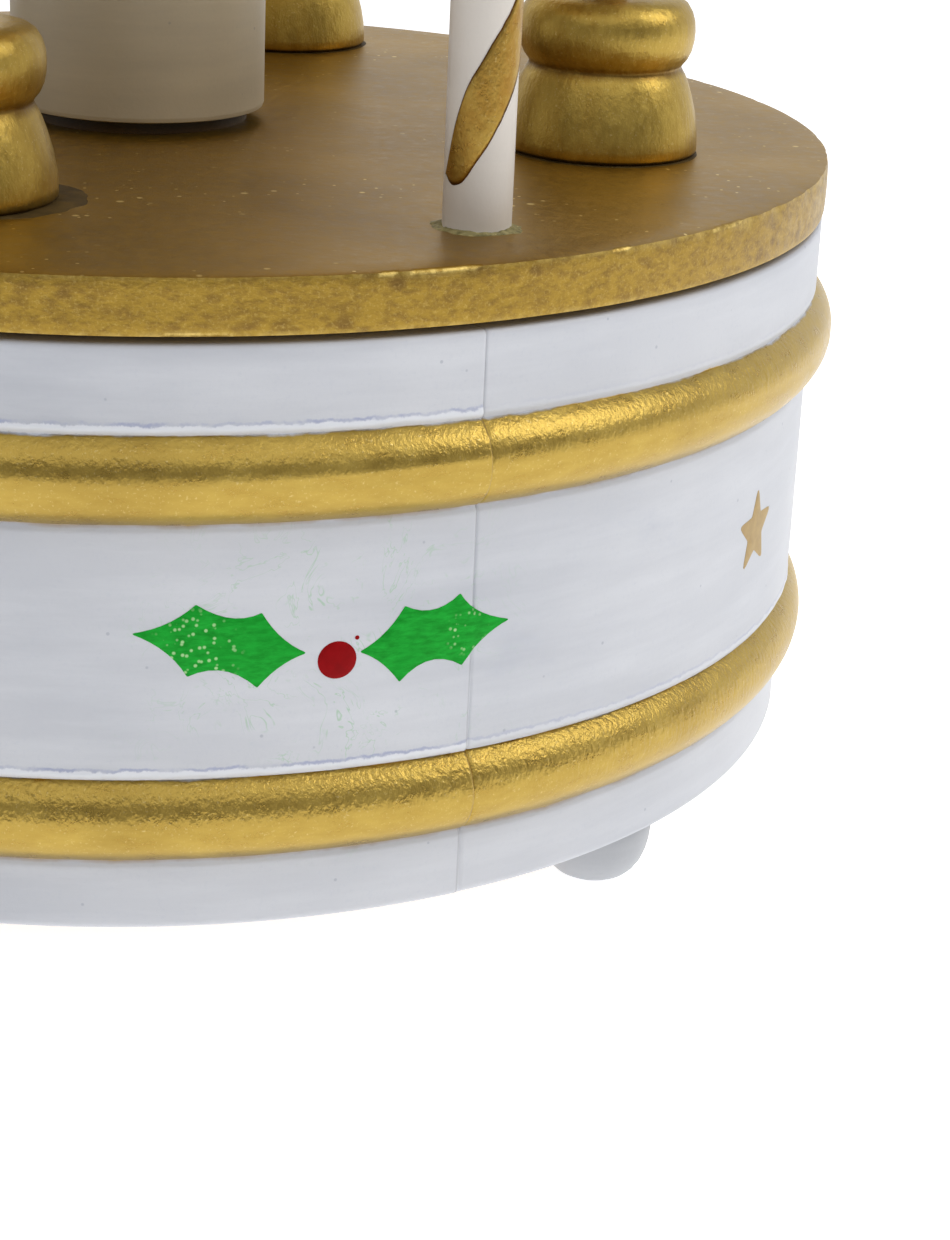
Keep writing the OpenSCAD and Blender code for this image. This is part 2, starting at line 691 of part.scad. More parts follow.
module platform() {
    color([0.62, 0.49, 0.24]) difference() {
        translate([0, 0, platform_z]) rotate_extrude($fn = 180) polygon([
            [0, 0], [platform_r - arris, 0], [platform_r, arris],
            [platform_r, platform_t - arris], [platform_r - arris, platform_t], [0, platform_t]]);
        translate([0, 0, platform_z - 1]) cylinder(h = hub_flange_t + 1, r = hub_flange_r + seat_gap);
        translate([0, 0, platform_z]) cylinder(h = platform_t + 1, r = spigot_r + seat_gap);
        for (a = [0:120:240]) rotate(a) translate([hub_screw_ring, 0, platform_z])
            cylinder(h = platform_t - 0.8, r = 0.8 + seat_gap, $fn = 24);
        for (a = pole_at) rotate(a) translate([pole_ring_r, 0, platform_top - socket_h])
            cylinder(h = socket_h + 1, r = pole_r + seat_gap, $fn = 32);
        for (f = figure_at) rotate(f[0]) translate([f[1], 0, platform_top - socket_h])
            cylinder(h = socket_h + 1, r = rod_bore, $fn = 32);
    }
}

module turntable_hub() {
    sleeve_z = deck_z - bush_flange_t - 0.6;
    color([0.80, 0.64, 0.28]) difference() {
        union() {
            translate([0, 0, platform_z]) cylinder(h = hub_flange_t, r = hub_flange_r);
            translate([0, 0, sleeve_z]) cylinder(h = platform_z - sleeve_z, r = hub_sleeve_r);
        }
        translate([0, 0, sleeve_z - 1]) cylinder(h = 20, r = shaft_r + seat_gap);
        for (a = [0:120:240]) rotate(a) translate([hub_screw_ring, 0, platform_z - 1])
            cylinder(h = 5, r = 0.8 + seat_gap, $fn = 24);
        for (a = [0:120:240]) rotate(a) translate([hub_screw_ring, 0, platform_z - 1])
            cylinder(h = 1.9, r = 1.5, $fn = 32);
    }
}

module hub_screws() {
    color([0.75, 0.76, 0.78]) for (a = [0:120:240]) rotate(a)
        translate([hub_screw_ring, 0, platform_z + 0.9]) screw(platform_t - 2, 0.8, 1.4, 0.8);
}

module center_column() {
    color([0.86, 0.86, 0.86]) {
        translate([0, 0, shaft_top]) cylinder(h = platform_top - shaft_top, r = spigot_r);
        translate([0, 0, platform_top]) cylinder(h = column_neck_h, r = column_r - 1.2);
        translate([0, 0, platform_top + column_neck_h])
            cylinder(h = stage_h - column_neck_h, r = column_r, $fn = 96);
        translate([0, 0, ceiling_z]) cylinder(h = socket_h, r = spigot_r);
    }
}

module pole(i) {
    color([0.88, 0.88, 0.88]) rotate(pole_at[i - 1]) translate([pole_ring_r, 0, platform_top - socket_h])
        cylinder(h = stage_h + 2 * socket_h, r = pole_r, $fn = 48);
}

module pedestal(i) {
    f = figure_at[i - 1];
    r = pedestal_r;
    waist = r - 1.6;
    bun = r - 0.85;
    h = pedestal_h;
    waist_z = h * 0.545;
    bun_z = h * 0.78;
    color([0.68, 0.54, 0.22]) rotate(f[0]) translate([f[1], 0, platform_top]) difference() {
        rotate_extrude($fn = 72) polygon(concat(
            [[0, 0], [r - 0.5, 0], [r, 0.5], [r - 0.1, 1.8]],
            [for (a = [0:15:75]) [waist + (r - 0.15 - waist) * (1 - sin(a)), 1.9 + (waist_z - 1.9) * (1 - cos(a))]],
            [[waist, waist_z]],
            [for (a = [-60:15:75]) [bun - 2.4 + 2.4 * cos(a), bun_z + (h - 0.3 - bun_z) * sin(a)]],
            [[bun - 2.2, h - 0.15], [rod_r + 1, h], [0, h]]));
        translate([0, 0, -1]) cylinder(h = h + 2, r = rod_bore, $fn = 32);
    }
}

module horse_rod(i) {
    f = figure_at[i - 1];
    color([0.70, 0.55, 0.24]) rotate(f[0]) translate([f[1], 0, 0]) {
        translate([0, 0, platform_top - socket_h])
            cylinder(h = rod_top - platform_top + socket_h, r = rod_r, $fn = 32);
        translate([0, 0, rod_top]) sphere(r = rod_r + 0.9, $fn = 32);
    }
}

// A horse that faces along +X, with its body's middle at the origin
module horse_body() {
    drawn_d = 8.6;
    r = drawn_d / 2;
    leg = 1.4;
    // [hip, knee, fetlock] of each leg
    legs = [
        [[5, -2, -1.5], [8.6, -2.3, -6], [6.4, -2.4, -9.4]],
        [[5, 2, -1.5], [7, 2.3, -6.6], [3.8, 2.4, -9.2]],
        [[-5.6, -2, -1.5], [-7.4, -2.3, -6.4], [-10.8, -2.4, -9.2]],
        [[-5.6, 2, -1.5], [-5.2, 2.3, -7], [-8.2, 2.4, -10.2]]];
    difference() {
        scale(horse_body_d / drawn_d) union($fn = 14) {
            limb([-5, 0, 0.2], [5, 0, 0.4], r, r, $fn = 20);
            limb([5.2, 0, 2], [10.8, 0, 10.2], r - 0.8, 2.2);
            limb([10.8, 0, 10.2], [15.6, 0, 7.2], 2.3, 1.3);
            for (s = [-1, 1]) limb([10.2, s * 1.1, 11.8], [10, s * 1.5, 13.8], 0.7, 0.3, $fn = 8);
            limb([-8.4, 0, 2], [-12.2, 0, 1], 1.4, 1.6, $fn = 10);
            limb([-12.2, 0, 1], [-13.6, 0, -6], 1.6, 0.7, $fn = 10);
            for (l = legs) {
                limb(l[0], l[1], leg + 0.9, leg, $fn = 10);
                limb(l[1], l[2], leg, leg - 0.4, $fn = 10);
                translate(l[2] - [0, 0, 1.6]) cylinder(h = 2, r1 = 1.7, r2 = 1.3, $fn = 12);
            }
        }
        translate([0, 0, -horse_h]) cylinder(h = 2 * horse_h, r = rod_bore, $fn = 24);
    }
}

module horse(i) {
    f = figure_at[i - 1];
    color([0.90, 0.89, 0.86]) rotate(f[0]) translate([f[1], 0, horse_z]) rotate(90) horse_body();
}

// ---- Canopy ----

module canopy_ceiling() {
    color([0.62, 0.49, 0.24]) difference() {
        translate([0, 0, ceiling_z]) rotate_extrude($fn = 180) polygon([
            [0, 0], [platform_r - arris, 0], [platform_r, arris],
            [platform_r, platform_t - arris], [platform_r - arris, platform_t], [0, platform_t]]);
        translate([0, 0, ceiling_z - 1]) {
            cylinder(h = socket_h + 1, r = spigot_r + seat_gap);
            for (a = pole_at) rotate(a) translate([pole_ring_r, 0, 0])
                cylinder(h = socket_h + 1, r = pole_r + seat_gap, $fn = 32);
        }
    }
}

module canopy_rim() {
    color([0.86, 0.87, 0.89]) rotate_extrude($fn = 180) polygon(concat(
        [[rim_r - rim_wall, rim_z], [rim_r - 0.3, rim_z]],
        bead_points(rim_r - 0.3, rim_z + rim_bead_h / 2 + 0.6, bead_out * 0.7, rim_bead_h),
        bead_points(rim_r - 0.3, roof_z - rim_bead_h / 2 - 0.6, bead_out * 0.7, rim_bead_h),
        [[rim_r - 0.3, roof_z], [rim_r - rim_wall, roof_z]]));
}

// Height of the roof's outer skin above the rim, from 0 at the eaves to 1
function roof_curve(t) = t * (0.55 + 0.45 * t * t);

module canopy_roof() {
    steps = 16;
    top = [for (i = [0:steps]) let (t = i / steps)
        [roof_foot_r + (roof_top_r - roof_foot_r) * t, roof_z + 1 + (roof_h - 1) * roof_curve(t)]];
    color([0.86, 0.87, 0.89]) rotate_extrude($fn = 180) polygon(concat(
        [[roof_foot_r - rim_wall + 2.2, roof_z], [roof_foot_r, roof_z]], top,
        [[0, finial_z], [0, finial_z - roof_t]],
        [for (i = [steps:-1:0]) if (top[i][0] < roof_foot_r - rim_wall + 2 && top[i][0] > roof_top_r + 1)
            [top[i][0], max(roof_z + 0.2, top[i][1] - roof_t)]]));
}

module finial() {
    ball_r = finial_ball_d / 2;
    neck_h = 3.5;
    ball_z = neck_h + ball_r * 0.93;
    color([0.70, 0.56, 0.24]) translate([0, 0, finial_z]) rotate_extrude($fn = 72) polygon(concat(
        [[0, 0], [roof_top_r - 0.2, 0], [roof_top_r, 0.9], [roof_top_r - 0.6, 1.8],
         [ball_r * 0.55, 2.4], [ball_r * 0.38, neck_h]],
        [for (a = [-66:12:66]) [ball_r * cos(a), ball_z + ball_r * sin(a)]],
        [[ball_r * 0.30, ball_z + ball_r * 1.12], [ball_r * 0.26, ball_z + ball_r * 1.3],
         [0, ball_z + ball_r * 1.5]]));
}

// ---- Nodes ----

drum_shell();
top_board();
deck_bush();
thrust_washer();
bottom_board();
bottom_board_screws();
bedplate();
movement_screws();
cylinder_bearing_inner();
cylinder_bearing_outer();
plate_screws();
music_comb();
comb_screws();
governor_frame();
platform();
turntable_hub();
hub_screws();
drive_shaft();
spring_barrel();
barrel_wheel();
mainspring();
center_column();
canopy_ceiling();
canopy_rim();
canopy_roof();
finial();
winding_arbor();
ratchet_wheel();
winding_key();
tune_cylinder();
cylinder_arbor();
cylinder_pinion();
cylinder_wheel();
governor_idler();
governor_worm();
governor_fan();
click();
for (i = [1:count]) {
    foot(i);
    pole(i);
    pedestal(i);
    horse_rod(i);
    horse(i);
}
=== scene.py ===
import math

import bmesh
import bpy
from mathutils import Matrix, Vector, noise
from mathutils.bvhtree import BVHTree
from mathutils.geometry import delaunay_2d_cdt


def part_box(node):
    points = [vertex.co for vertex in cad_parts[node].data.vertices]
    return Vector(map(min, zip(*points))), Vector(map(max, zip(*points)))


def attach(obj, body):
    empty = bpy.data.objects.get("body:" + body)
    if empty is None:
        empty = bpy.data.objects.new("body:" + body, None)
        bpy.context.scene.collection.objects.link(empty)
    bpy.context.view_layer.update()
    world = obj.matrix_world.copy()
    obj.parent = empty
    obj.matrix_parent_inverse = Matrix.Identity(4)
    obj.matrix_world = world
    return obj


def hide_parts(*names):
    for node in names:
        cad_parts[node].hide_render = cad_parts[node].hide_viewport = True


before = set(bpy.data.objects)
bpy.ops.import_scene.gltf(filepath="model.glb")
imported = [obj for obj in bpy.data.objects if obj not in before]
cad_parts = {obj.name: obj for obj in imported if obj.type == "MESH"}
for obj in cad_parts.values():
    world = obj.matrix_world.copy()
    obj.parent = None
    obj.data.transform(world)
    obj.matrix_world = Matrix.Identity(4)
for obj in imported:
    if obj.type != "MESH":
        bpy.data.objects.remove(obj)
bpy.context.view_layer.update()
mm = 0.001
print("frame loaded")


def heights(node):
    low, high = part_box(node)
    return low.z / mm, high.z / mm


def middles(kind):
    spots = []
    for i in (1, 2, 3, 4):
        low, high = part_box("%s_%d" % (kind, i))
        spots.append(Vector(((low.x + high.x) / 2, (low.y + high.y) / 2, 0)))
    return spots


drumBottom, drumTop = heights("drum_shell")
discBottom, discTop = heights("platform")
ceilBottom, ceilTop = heights("canopy_ceiling")
rimBottom, rimTop = heights("canopy_rim")
roofBottom, roofTop = heights("canopy_roof")
knobBottom, knobTop = heights("finial")
columnBottom, columnTop = heights("center_column")
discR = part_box("platform")[1].x / mm
poleSpots = middles("pole")
footSpots = middles("foot")
pedestalSpots = middles("pedestal")


def toLinear(text):
    # "#rrggbb" as the screen shows it, to the linear colour a shader wants
    parts = [int(text[i:i + 2], 16) / 255 for i in (1, 3, 5)]
    return [p / 12.92 if p < 0.04045 else ((p + 0.055) / 1.055) ** 2.4 for p in parts] + [1]


def evenly(low, high, count):
    return [low + (high - low) * k / count for k in range(count + 1)]


def around(count):
    return [2 * math.pi * k / count for k in range(count)]


def turned(a):
    # an angle brought to the range from minus to plus half a turn
    return (a + math.pi) % (2 * math.pi) - math.pi


def smooth(t):
    t = min(max(t, 0.0), 1.0)
    return t * t * (3 - 2 * t)


def wobble(x, y, z, size, seed=0.0):
    return noise.noise(Vector((x / size + seed, y / size - seed, z / size + 2 * seed)))


def wobbleRound(a, wide, z, seed=0.0):
    # the same drift on a circle, so that it meets itself after a whole turn
    return wobble(math.cos(a) * wide, math.sin(a) * wide, z, 1.0, seed)


def uneven(amount, less, wide, high, beyond, seed=0.0):
    # a change for lathe(): past that radius the skin drifts in and out, as hand-turned wood does
    def change(a, r, z):
        drift = amount * wobbleRound(a, wide, z / high, seed) - less if r > beyond else 0
        return r + drift, z
    return change


def arcPoints(cx, cz, r, fromDeg, toDeg, steps):
    turns = [math.radians(a) for a in evenly(fromDeg, toDeg, steps)]
    return [(cx + r * math.cos(a), cz + r * math.sin(a)) for a in turns]


def beadArc(r, z, out, high, steps=22):
    big = (high * high / 4 + out * out) / (2 * out)
    half = math.asin(high / 2 / big)
    turns = evenly(-half, half, 2 * steps)
    return [(r + out - big + big * math.cos(a), z + big * math.sin(a)) for a in turns]


def tubeFaces(rings, sides, closed=False):
    # the quads between rings of points that follow one another; closed joins the last ring to the first
    faces = []
    for i in range(rings if closed else rings - 1):
        low, high = i * sides, (i + 1) % rings * sides
        faces += [(low + k, low + (k + 1) % sides, high + (k + 1) % sides, high + k) for k in range(sides)]
    return faces


def tubeEnds(rings, sides):
    return [tuple(range(sides - 1, -1, -1)), tuple(range((rings - 1) * sides, rings * sides))]


def linkPiece(name, mesh):
    piece = bpy.data.objects.new(name, mesh)
    bpy.context.scene.collection.objects.link(piece)
    return piece


def smoothShade(mesh):
    mesh.polygons.foreach_set("use_smooth", [True] * len(mesh.polygons))


def meshPiece(name, points, faces, material, sharp=35):
    mesh = bpy.data.meshes.new(name)
    mesh.from_pydata([tuple(p) for p in points], [], faces)
    mesh.validate()
    smoothShade(mesh)
    mesh.set_sharp_from_angle(angle=math.radians(sharp))
    if material:
        mesh.materials.append(material)
    return linkPiece(name, mesh)


def lathe(name, profile, material, steps=256, center=(0, 0), change=None, sharp=35, ring=False):
    # turns (r, z) points in mm, bottom to top, into a closed skin; change(angle, r, z) may shift each point
    angles = steps if isinstance(steps, list) else around(steps)
    points, rows, faces = [], [], []
    for r, z in profile:
        row = []
        for a in angles if r >= 1e-5 or ring else [0.0]:
            rr, zz = change(a, r, z) if change and (r >= 1e-5 or ring) else (r, z)
            row.append(len(points))
            points.append((center[0] + rr * mm * math.cos(a), center[1] + rr * mm * math.sin(a), zz * mm))
        rows.append(row)
    for low, high in list(zip(rows, rows[1:])) + ([(rows[-1], rows[0])] if ring else []):
        for k in range(len(angles) if len(low) + len(high) > 2 else 0):
            n = (k + 1) % len(angles)
            if len(low) == 1:
                faces.append((low[0], high[n], high[k]))
            elif len(high) == 1:
                faces.append((low[k], low[n], high[0]))
            else:
                faces.append((low[k], low[n], high[n], high[k]))
    return meshPiece(name, points, faces, material, sharp)


def applyModifiers(piece):
    graph = bpy.context.evaluated_depsgraph_get()
    graph.update()
    mesh = bpy.data.meshes.new_from_object(piece.evaluated_get(graph))
    piece.modifiers.clear()
    piece.data = mesh
    return piece


def thicken(piece, depth):
    rule = piece.modifiers.new("Solidify", "SOLIDIFY")
    rule.thickness = depth * mm
    rule.offset = -1
    rule.use_even_offset = False
    return applyModifiers(piece)


def settle(piece, body, slotName, *nodes):
    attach(piece, body)
    if nodes:
        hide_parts(*nodes)
    return piece


class Nodes:
    # adds nodes to one tree and links them as it goes
    def __init__(self, tree):
        self.tree = tree

    def fill(self, node, values):
        for key, value in values.items():
            if isinstance(value, bpy.types.NodeSocket):
                self.tree.links.new(value, node.inputs[key])
            else:
                node.inputs[key].default_value = value
        return node

    def put(self, kind, values=None, **settings):
        node = self.tree.nodes.new(kind)
        for key, value in settings.items():
            setattr(node, key, value)
        return self.fill(node, values or {})

    def calc(self, kind, a, b=0.0, c=0.0, clamp=False):
        return self.put("ShaderNodeMath", {0: a, 1: b, 2: c}, operation=kind, use_clamp=clamp).outputs[0]

    def plus(self, a, b):
        return self.calc("ADD", a, b)

    def minus(self, a, b):
        return self.calc("SUBTRACT", a, b)

    def times(self, a, b):
        return self.calc("MULTIPLY", a, b)

    def timesPlus(self, a, b, c):
        return self.calc("MULTIPLY_ADD", a, b, c)

    def apart(self, a, b):
        return self.calc("ABSOLUTE", self.minus(a, b))

    def ragged(self, pattern, amount):
        # a pattern round one half, as a shift to both sides
        return self.times(self.minus(pattern, 0.5), amount)

    def point(self, x, y, z):
        return self.put("ShaderNodeCombineXYZ", {"X": x, "Y": y, "Z": z}).outputs[0]

    def split(self, vector):
        return self.put("ShaderNodeSeparateXYZ", {"Vector": vector}).outputs


class Rule(Nodes):
    # one Geometry Nodes tree with named number inputs; run() turns it into a plain mesh piece
    def __init__(self, name, sizes, material):
        super().__init__(bpy.data.node_groups.new(name, "GeometryNodeTree"))
        face = self.tree.interface
        face.new_socket("Geometry", in_out="OUTPUT", socket_type="NodeSocketGeometry")
        self.sizes = sizes
        self.sockets = {}
        for label in sizes:
            socket = face.new_socket(label, in_out="INPUT", socket_type="NodeSocketFloat")
            self.sockets[label] = socket.identifier
        self.inputs = self.put("NodeGroupInput").outputs
        self.material = material

    def size(self, label):
        return self.inputs[label]

    def strip(self, alongCount, acrossCount):
        # a flat unit strip: its geometry, and where each point lies along and across it
        grid = self.put("GeometryNodeMeshGrid", {"Size X": 1.0, "Size Y": 1.0, "Vertices X": alongCount,
                                                 "Vertices Y": acrossCount})
        x, y, z = self.split(self.put("GeometryNodeInputPosition").outputs[0])
        return grid.outputs[0], x, y

    def dome(self, side):
        # full along the middle of a strip and falling off close to its edges
        return self.minus(1.0, self.calc("POWER", self.times(side, 2.0), 4.0))

    def wrap(self, geometry, angle, radius, height, x=0.0, y=0.0):
        # moves the strip's points onto a turned surface round (x, y)
        spot = self.point(self.timesPlus(self.calc("COSINE", angle), radius, x),
                          self.timesPlus(self.calc("SINE", angle), radius, y), height)
        bent = self.put("GeometryNodeSetPosition", {"Geometry": geometry, "Position": spot}).outputs[0]
        return self.put("GeometryNodeSetShadeSmooth", {"Geometry": bent, "Shade Smooth": True}).outputs[0]

    def close(self, geometry):
        whole = self.put("GeometryNodeRealizeInstances", {"Geometry": geometry}).outputs[0]
        painted = self.put("GeometryNodeSetMaterial", {"Geometry": whole, "Material": self.material})
        self.put("NodeGroupOutput", {0: painted.outputs[0]})
        return self

    def run(self, name, **changed):
        piece = linkPiece(name, bpy.data.meshes.new(name))
        rule = piece.modifiers.new("Rule", "NODES")
        rule.node_group = self.tree
        for label, value in self.sizes.items():
            rule[self.sockets[label]] = float(changed.get(label.replace(" ", ""), value))
        applyModifiers(piece)
        piece.data.name = name
        return piece


class Paint(Nodes):
    # one material
    def __init__(self, name):
        self.material = bpy.data.materials.new(name)
        self.material.use_nodes = True
        super().__init__(self.material.node_tree)
        self.shader = self.tree.nodes["Principled BSDF"]
        self.coords = self.put("ShaderNodeTexCoord").outputs["Object"]

    def stretch(self, x, y, z):
        return self.put("ShaderNodeMapping", {"Vector": self.coords, "Scale": (x, y, z)}).outputs["Vector"]

    def grain(self, size, detail=4, rough=0.55, vector=None, distortion=0.0):
        # size is the width of a typical feature in mm
        values = {"Vector": vector or self.coords, "Scale": 1000 / size, "Detail": detail, "Roughness": rough,
                  "Distortion": distortion}
        return self.put("ShaderNodeTexNoise", values).outputs["Fac"]

    def dots(self, size, vector=None, kind="F1"):
        values = {"Vector": vector or self.coords, "Scale": 1000 / size}
        return self.put("ShaderNodeTexVoronoi", values, feature=kind).outputs["Distance"]

    def distance(self, a, b):
        return self.put("ShaderNodeVectorMath", {0: a, 1: b}, operation="DISTANCE").outputs["Value"]

    def radius(self, x, y):
        return self.calc("SQRT", self.plus(self.times(x, x), self.times(y, y)))

    def attribute(self, name):
        return self.put("ShaderNodeAttribute", attribute_name=name).outputs["Fac"]

    def scaled(self, value, low, high, outLow, outHigh, smooth=False):
        values = {"Value": value, "From Min": low, "From Max": high, "To Min": outLow, "To Max": outHigh}
        kind = "SMOOTHSTEP" if smooth else "LINEAR"
        return self.put("ShaderNodeMapRange", values, interpolation_type=kind).outputs["Result"]

    def between(self, value, low, high, soft):
        # one from low to high and nothing beyond, with a soft step at both
        return self.times(self.scaled(value, low - soft, low + soft, 0, 1),
                          self.scaled(value, high - soft, high + soft, 1, 0))

    def most(self, patterns):
        result = patterns[0]
        for pattern in patterns[1:]:
            result = self.calc("MAXIMUM", result, pattern)
        return result

    def mix(self, fac, a, b, blend="MIX"):
        a, b = (toLinear(value) if isinstance(value, str) else value for value in (a, b))
        return self.put("ShaderNodeMix", {0: fac, 6: a, 7: b}, data_type="RGBA", blend_type=blend).outputs[2]

    def mixNumber(self, fac, a, b):
        return self.put("ShaderNodeMix", {0: fac, 2: a, 3: b}, data_type="FLOAT").outputs[0]

    def over(self, under, top, pattern, low, high, most=1.0):
        # lays the top colour over the other one where the pattern rises from low to high
        return self.mix(self.scaled(pattern, low, high, 0, most), under, top)

    def bump(self, height, strength, depth, normal=None):
        values = {"Height": height, "Strength": strength, "Distance": depth * mm}
        if normal:
            values["Normal"] = normal
        return self.put("ShaderNodeBump", values).outputs["Normal"]

    def finish(self, colour, rough, normal, metal=0.0, **more):
        # more holds other inputs of the shader, named with _ for each space
        values = {"Base Color": colour, "Roughness": rough, "Normal": normal, "Metallic": metal}
        values.update((key.replace("_", " "), value) for key, value in more.items())
        self.fill(self.shader, values)
        return self.material


# the white set also holds a lighter warm white used as painted light, and a brown and a near-black for the
# painted shadow under the column
whiteSet = {"light": "#d0d2d8", "shade": "#bfc2ca", "brush": "#eceef3", "smudge": "#b6bbca",
            "grain": "#b9bfcc", "speck": "#9aa0ae", "paintedLight": "#fbf8f2", "neckShade": "#5d431e",
            "neckShadeDeep": "#1d1307", "rough": 0.40}
# the gilt's dark brown for creases is painted shade
goldSet = {"light": "#c9ac56", "base": "#a8893d", "deep": "#6a4d16", "flake": "#f0dc9c", "creaseShade": "#59350f",
           "rough": 0.29, "metal": 0.90}
# on the drum: how far up a bead its crinkle starts and how strong it gets, for most beads and for the lower
# one; how strongly the painted highlight on the heaped white and the painted shadow line above it show on
# the left of the seam, and what is left of them on the right
# the lighter white is that painted highlight, and the blue-grey that painted shadow line
drumSet = {"crinkle": (0.42, 1.5), "lowCrinkle": (0.25, 2.2), "heap": 0.8, "beyond": 0.12, "lowBeyond": 0.45,
           "ridgeHighlight": "#e9ecf2", "line": "#9fa6c6", "beadFootBrown": "#a48763", "seam": "#77727a",
           "wiped": "#9cc4a2", "metal": 0.86}
# the dust on the board's face comes as specks of three kinds: how far apart and how wide
boardSet = {"light": "#c09a40", "base": "#a88432", "deep": "#8a6a20", "edge": "#a68634", "pit": "#76592a",
            "dust": "#f2da90", "arris": "#dcc070", "specks": ((1.3, 0.12), (2.8, 0.10), (4.7, 0.075))}
ribbonSet = {"deep": "#8f611a", "outline": "#5e3a14"}
leafSet = {"dark": "#068a20", "light": "#1fb038", "cloud": "#0a9c2a", "bubble": "#acdc9a"}
woodSet = {"dark": "#b98f58", "light": "#d9b983", "fibre": "#8c6437"}
horseSet = {"shade": "#e4dfd2", "light": "#f1eee6", "dapple": "#a9a49c", "leg": "#7d7468"}


def whiteLayers(p):
    # colour, roughness and height of the brushed white paint, shared by every white piece
    s = whiteSet
    brush = p.grain(3.2, 5, 0.62, p.stretch(0.12, 0.12, 1.0))
    smudge = p.grain(7, 5, 0.7, p.stretch(0.6, 0.6, 1.0))
    colour = p.over(s["shade"], s["light"], p.grain(22, 3, 0.5), 0.3, 0.7)
    colour = p.over(colour, s["brush"], brush, 0.42, 0.75, 0.35)
    colour = p.over(colour, s["smudge"], smudge, 0.60, 0.78, 0.35)
    colour = p.over(colour, s["grain"], p.grain(0.35, 3, 0.7), 0.55, 0.75, 0.22)
    colour = p.mix(p.scaled(p.dots(2.6), 0.035, 0.06, 0.5, 0.0), colour, s["speck"])
    rough = p.scaled(brush, 0.3, 0.7, s["rough"] - 0.06, s["rough"] + 0.14)
    return colour, rough, p.plus(p.times(brush, 0.6), p.times(p.grain(0.55, 3, 0.6), 0.4))


def goldLayers(p, crinkle=1.0, along=(0.35, 0.35, 1.0), mottle=0.25):
    # satin gilt paint: even colour, fine flakes, a crinkled skin that breaks the highlights
    s = goldSet
    streak = p.grain(0.9, 4, 0.6, p.stretch(*along))
    flake = p.grain(0.22, 2, 0.7)
    skin = p.grain(0.42, 3, 0.6, p.stretch(1.0, 1.0, 0.55))
    colour = p.mix(p.scaled(streak, 0.30, 0.70, 0.5 - mottle, 0.5 + mottle), s["base"], s["light"])
    colour = p.over(colour, s["deep"], p.grain(9, 1, 0.5), 0.55, 0.85, mottle)
    colour = p.over(colour, s["flake"], flake, 0.60, 0.80, 0.5)
    rough = p.scaled(streak, 0.3, 0.75, s["rough"] - 0.04, s["rough"] + 0.10)
    height = p.plus(p.plus(p.times(skin, crinkle), p.times(flake, 0.22)), p.times(streak, mottle))
    return colour, rough, height


def makeWhite(name, tint=None, neck=None, paintedLight=0.0):
    # the last argument mixes in a lighter, warmer white as painted light; below the height neck the paint
    # gives way to painted shadow, darkest just under the column and browner towards the board
    p = Paint(name)
    colour, rough, height = whiteLayers(p)
    if paintedLight:
        colour = p.mix(paintedLight, colour, whiteSet["paintedLight"])
    if tint:
        colour = p.mix(1.0, colour, tint, "MULTIPLY")
    if neck:
        z = p.split(p.coords)["Z"]
        # painted shadow under the column: near-black close to it, browner towards the board
        neckShade = p.over(whiteSet["neckShade"], whiteSet["neckShadeDeep"], z, neck - 0.0013, neck - 0.0004)
        colour = p.mix(p.scaled(z, neck, neck + 0.0001, 1, 0), colour, neckShade)
    return p.finish(colour, rough, p.bump(height, 0.35, 0.12))


def makeGold(name, crinkle=1.0, along=(0.35, 0.35, 1.0), deep=(), dull=0.0):
    # deep lists height and width, in mm, of the creases that are darkened with painted shade
    p = Paint(name)
    colour, rough, height = goldLayers(p, crinkle, along, 0.3)
    z = p.split(p.coords)["Z"]
    for place, width in deep:
        far = p.plus(p.apart(z, place * mm), p.times(p.grain(1.6, 3, 0.6), 0.0006))
        colour = p.mix(p.scaled(far, 0.0002, width * mm, 0.8, 0, True), colour, goldSet["creaseShade"])
    return p.finish(colour, p.plus(rough, dull), p.bump(height, 0.45, 0.10), goldSet["metal"])


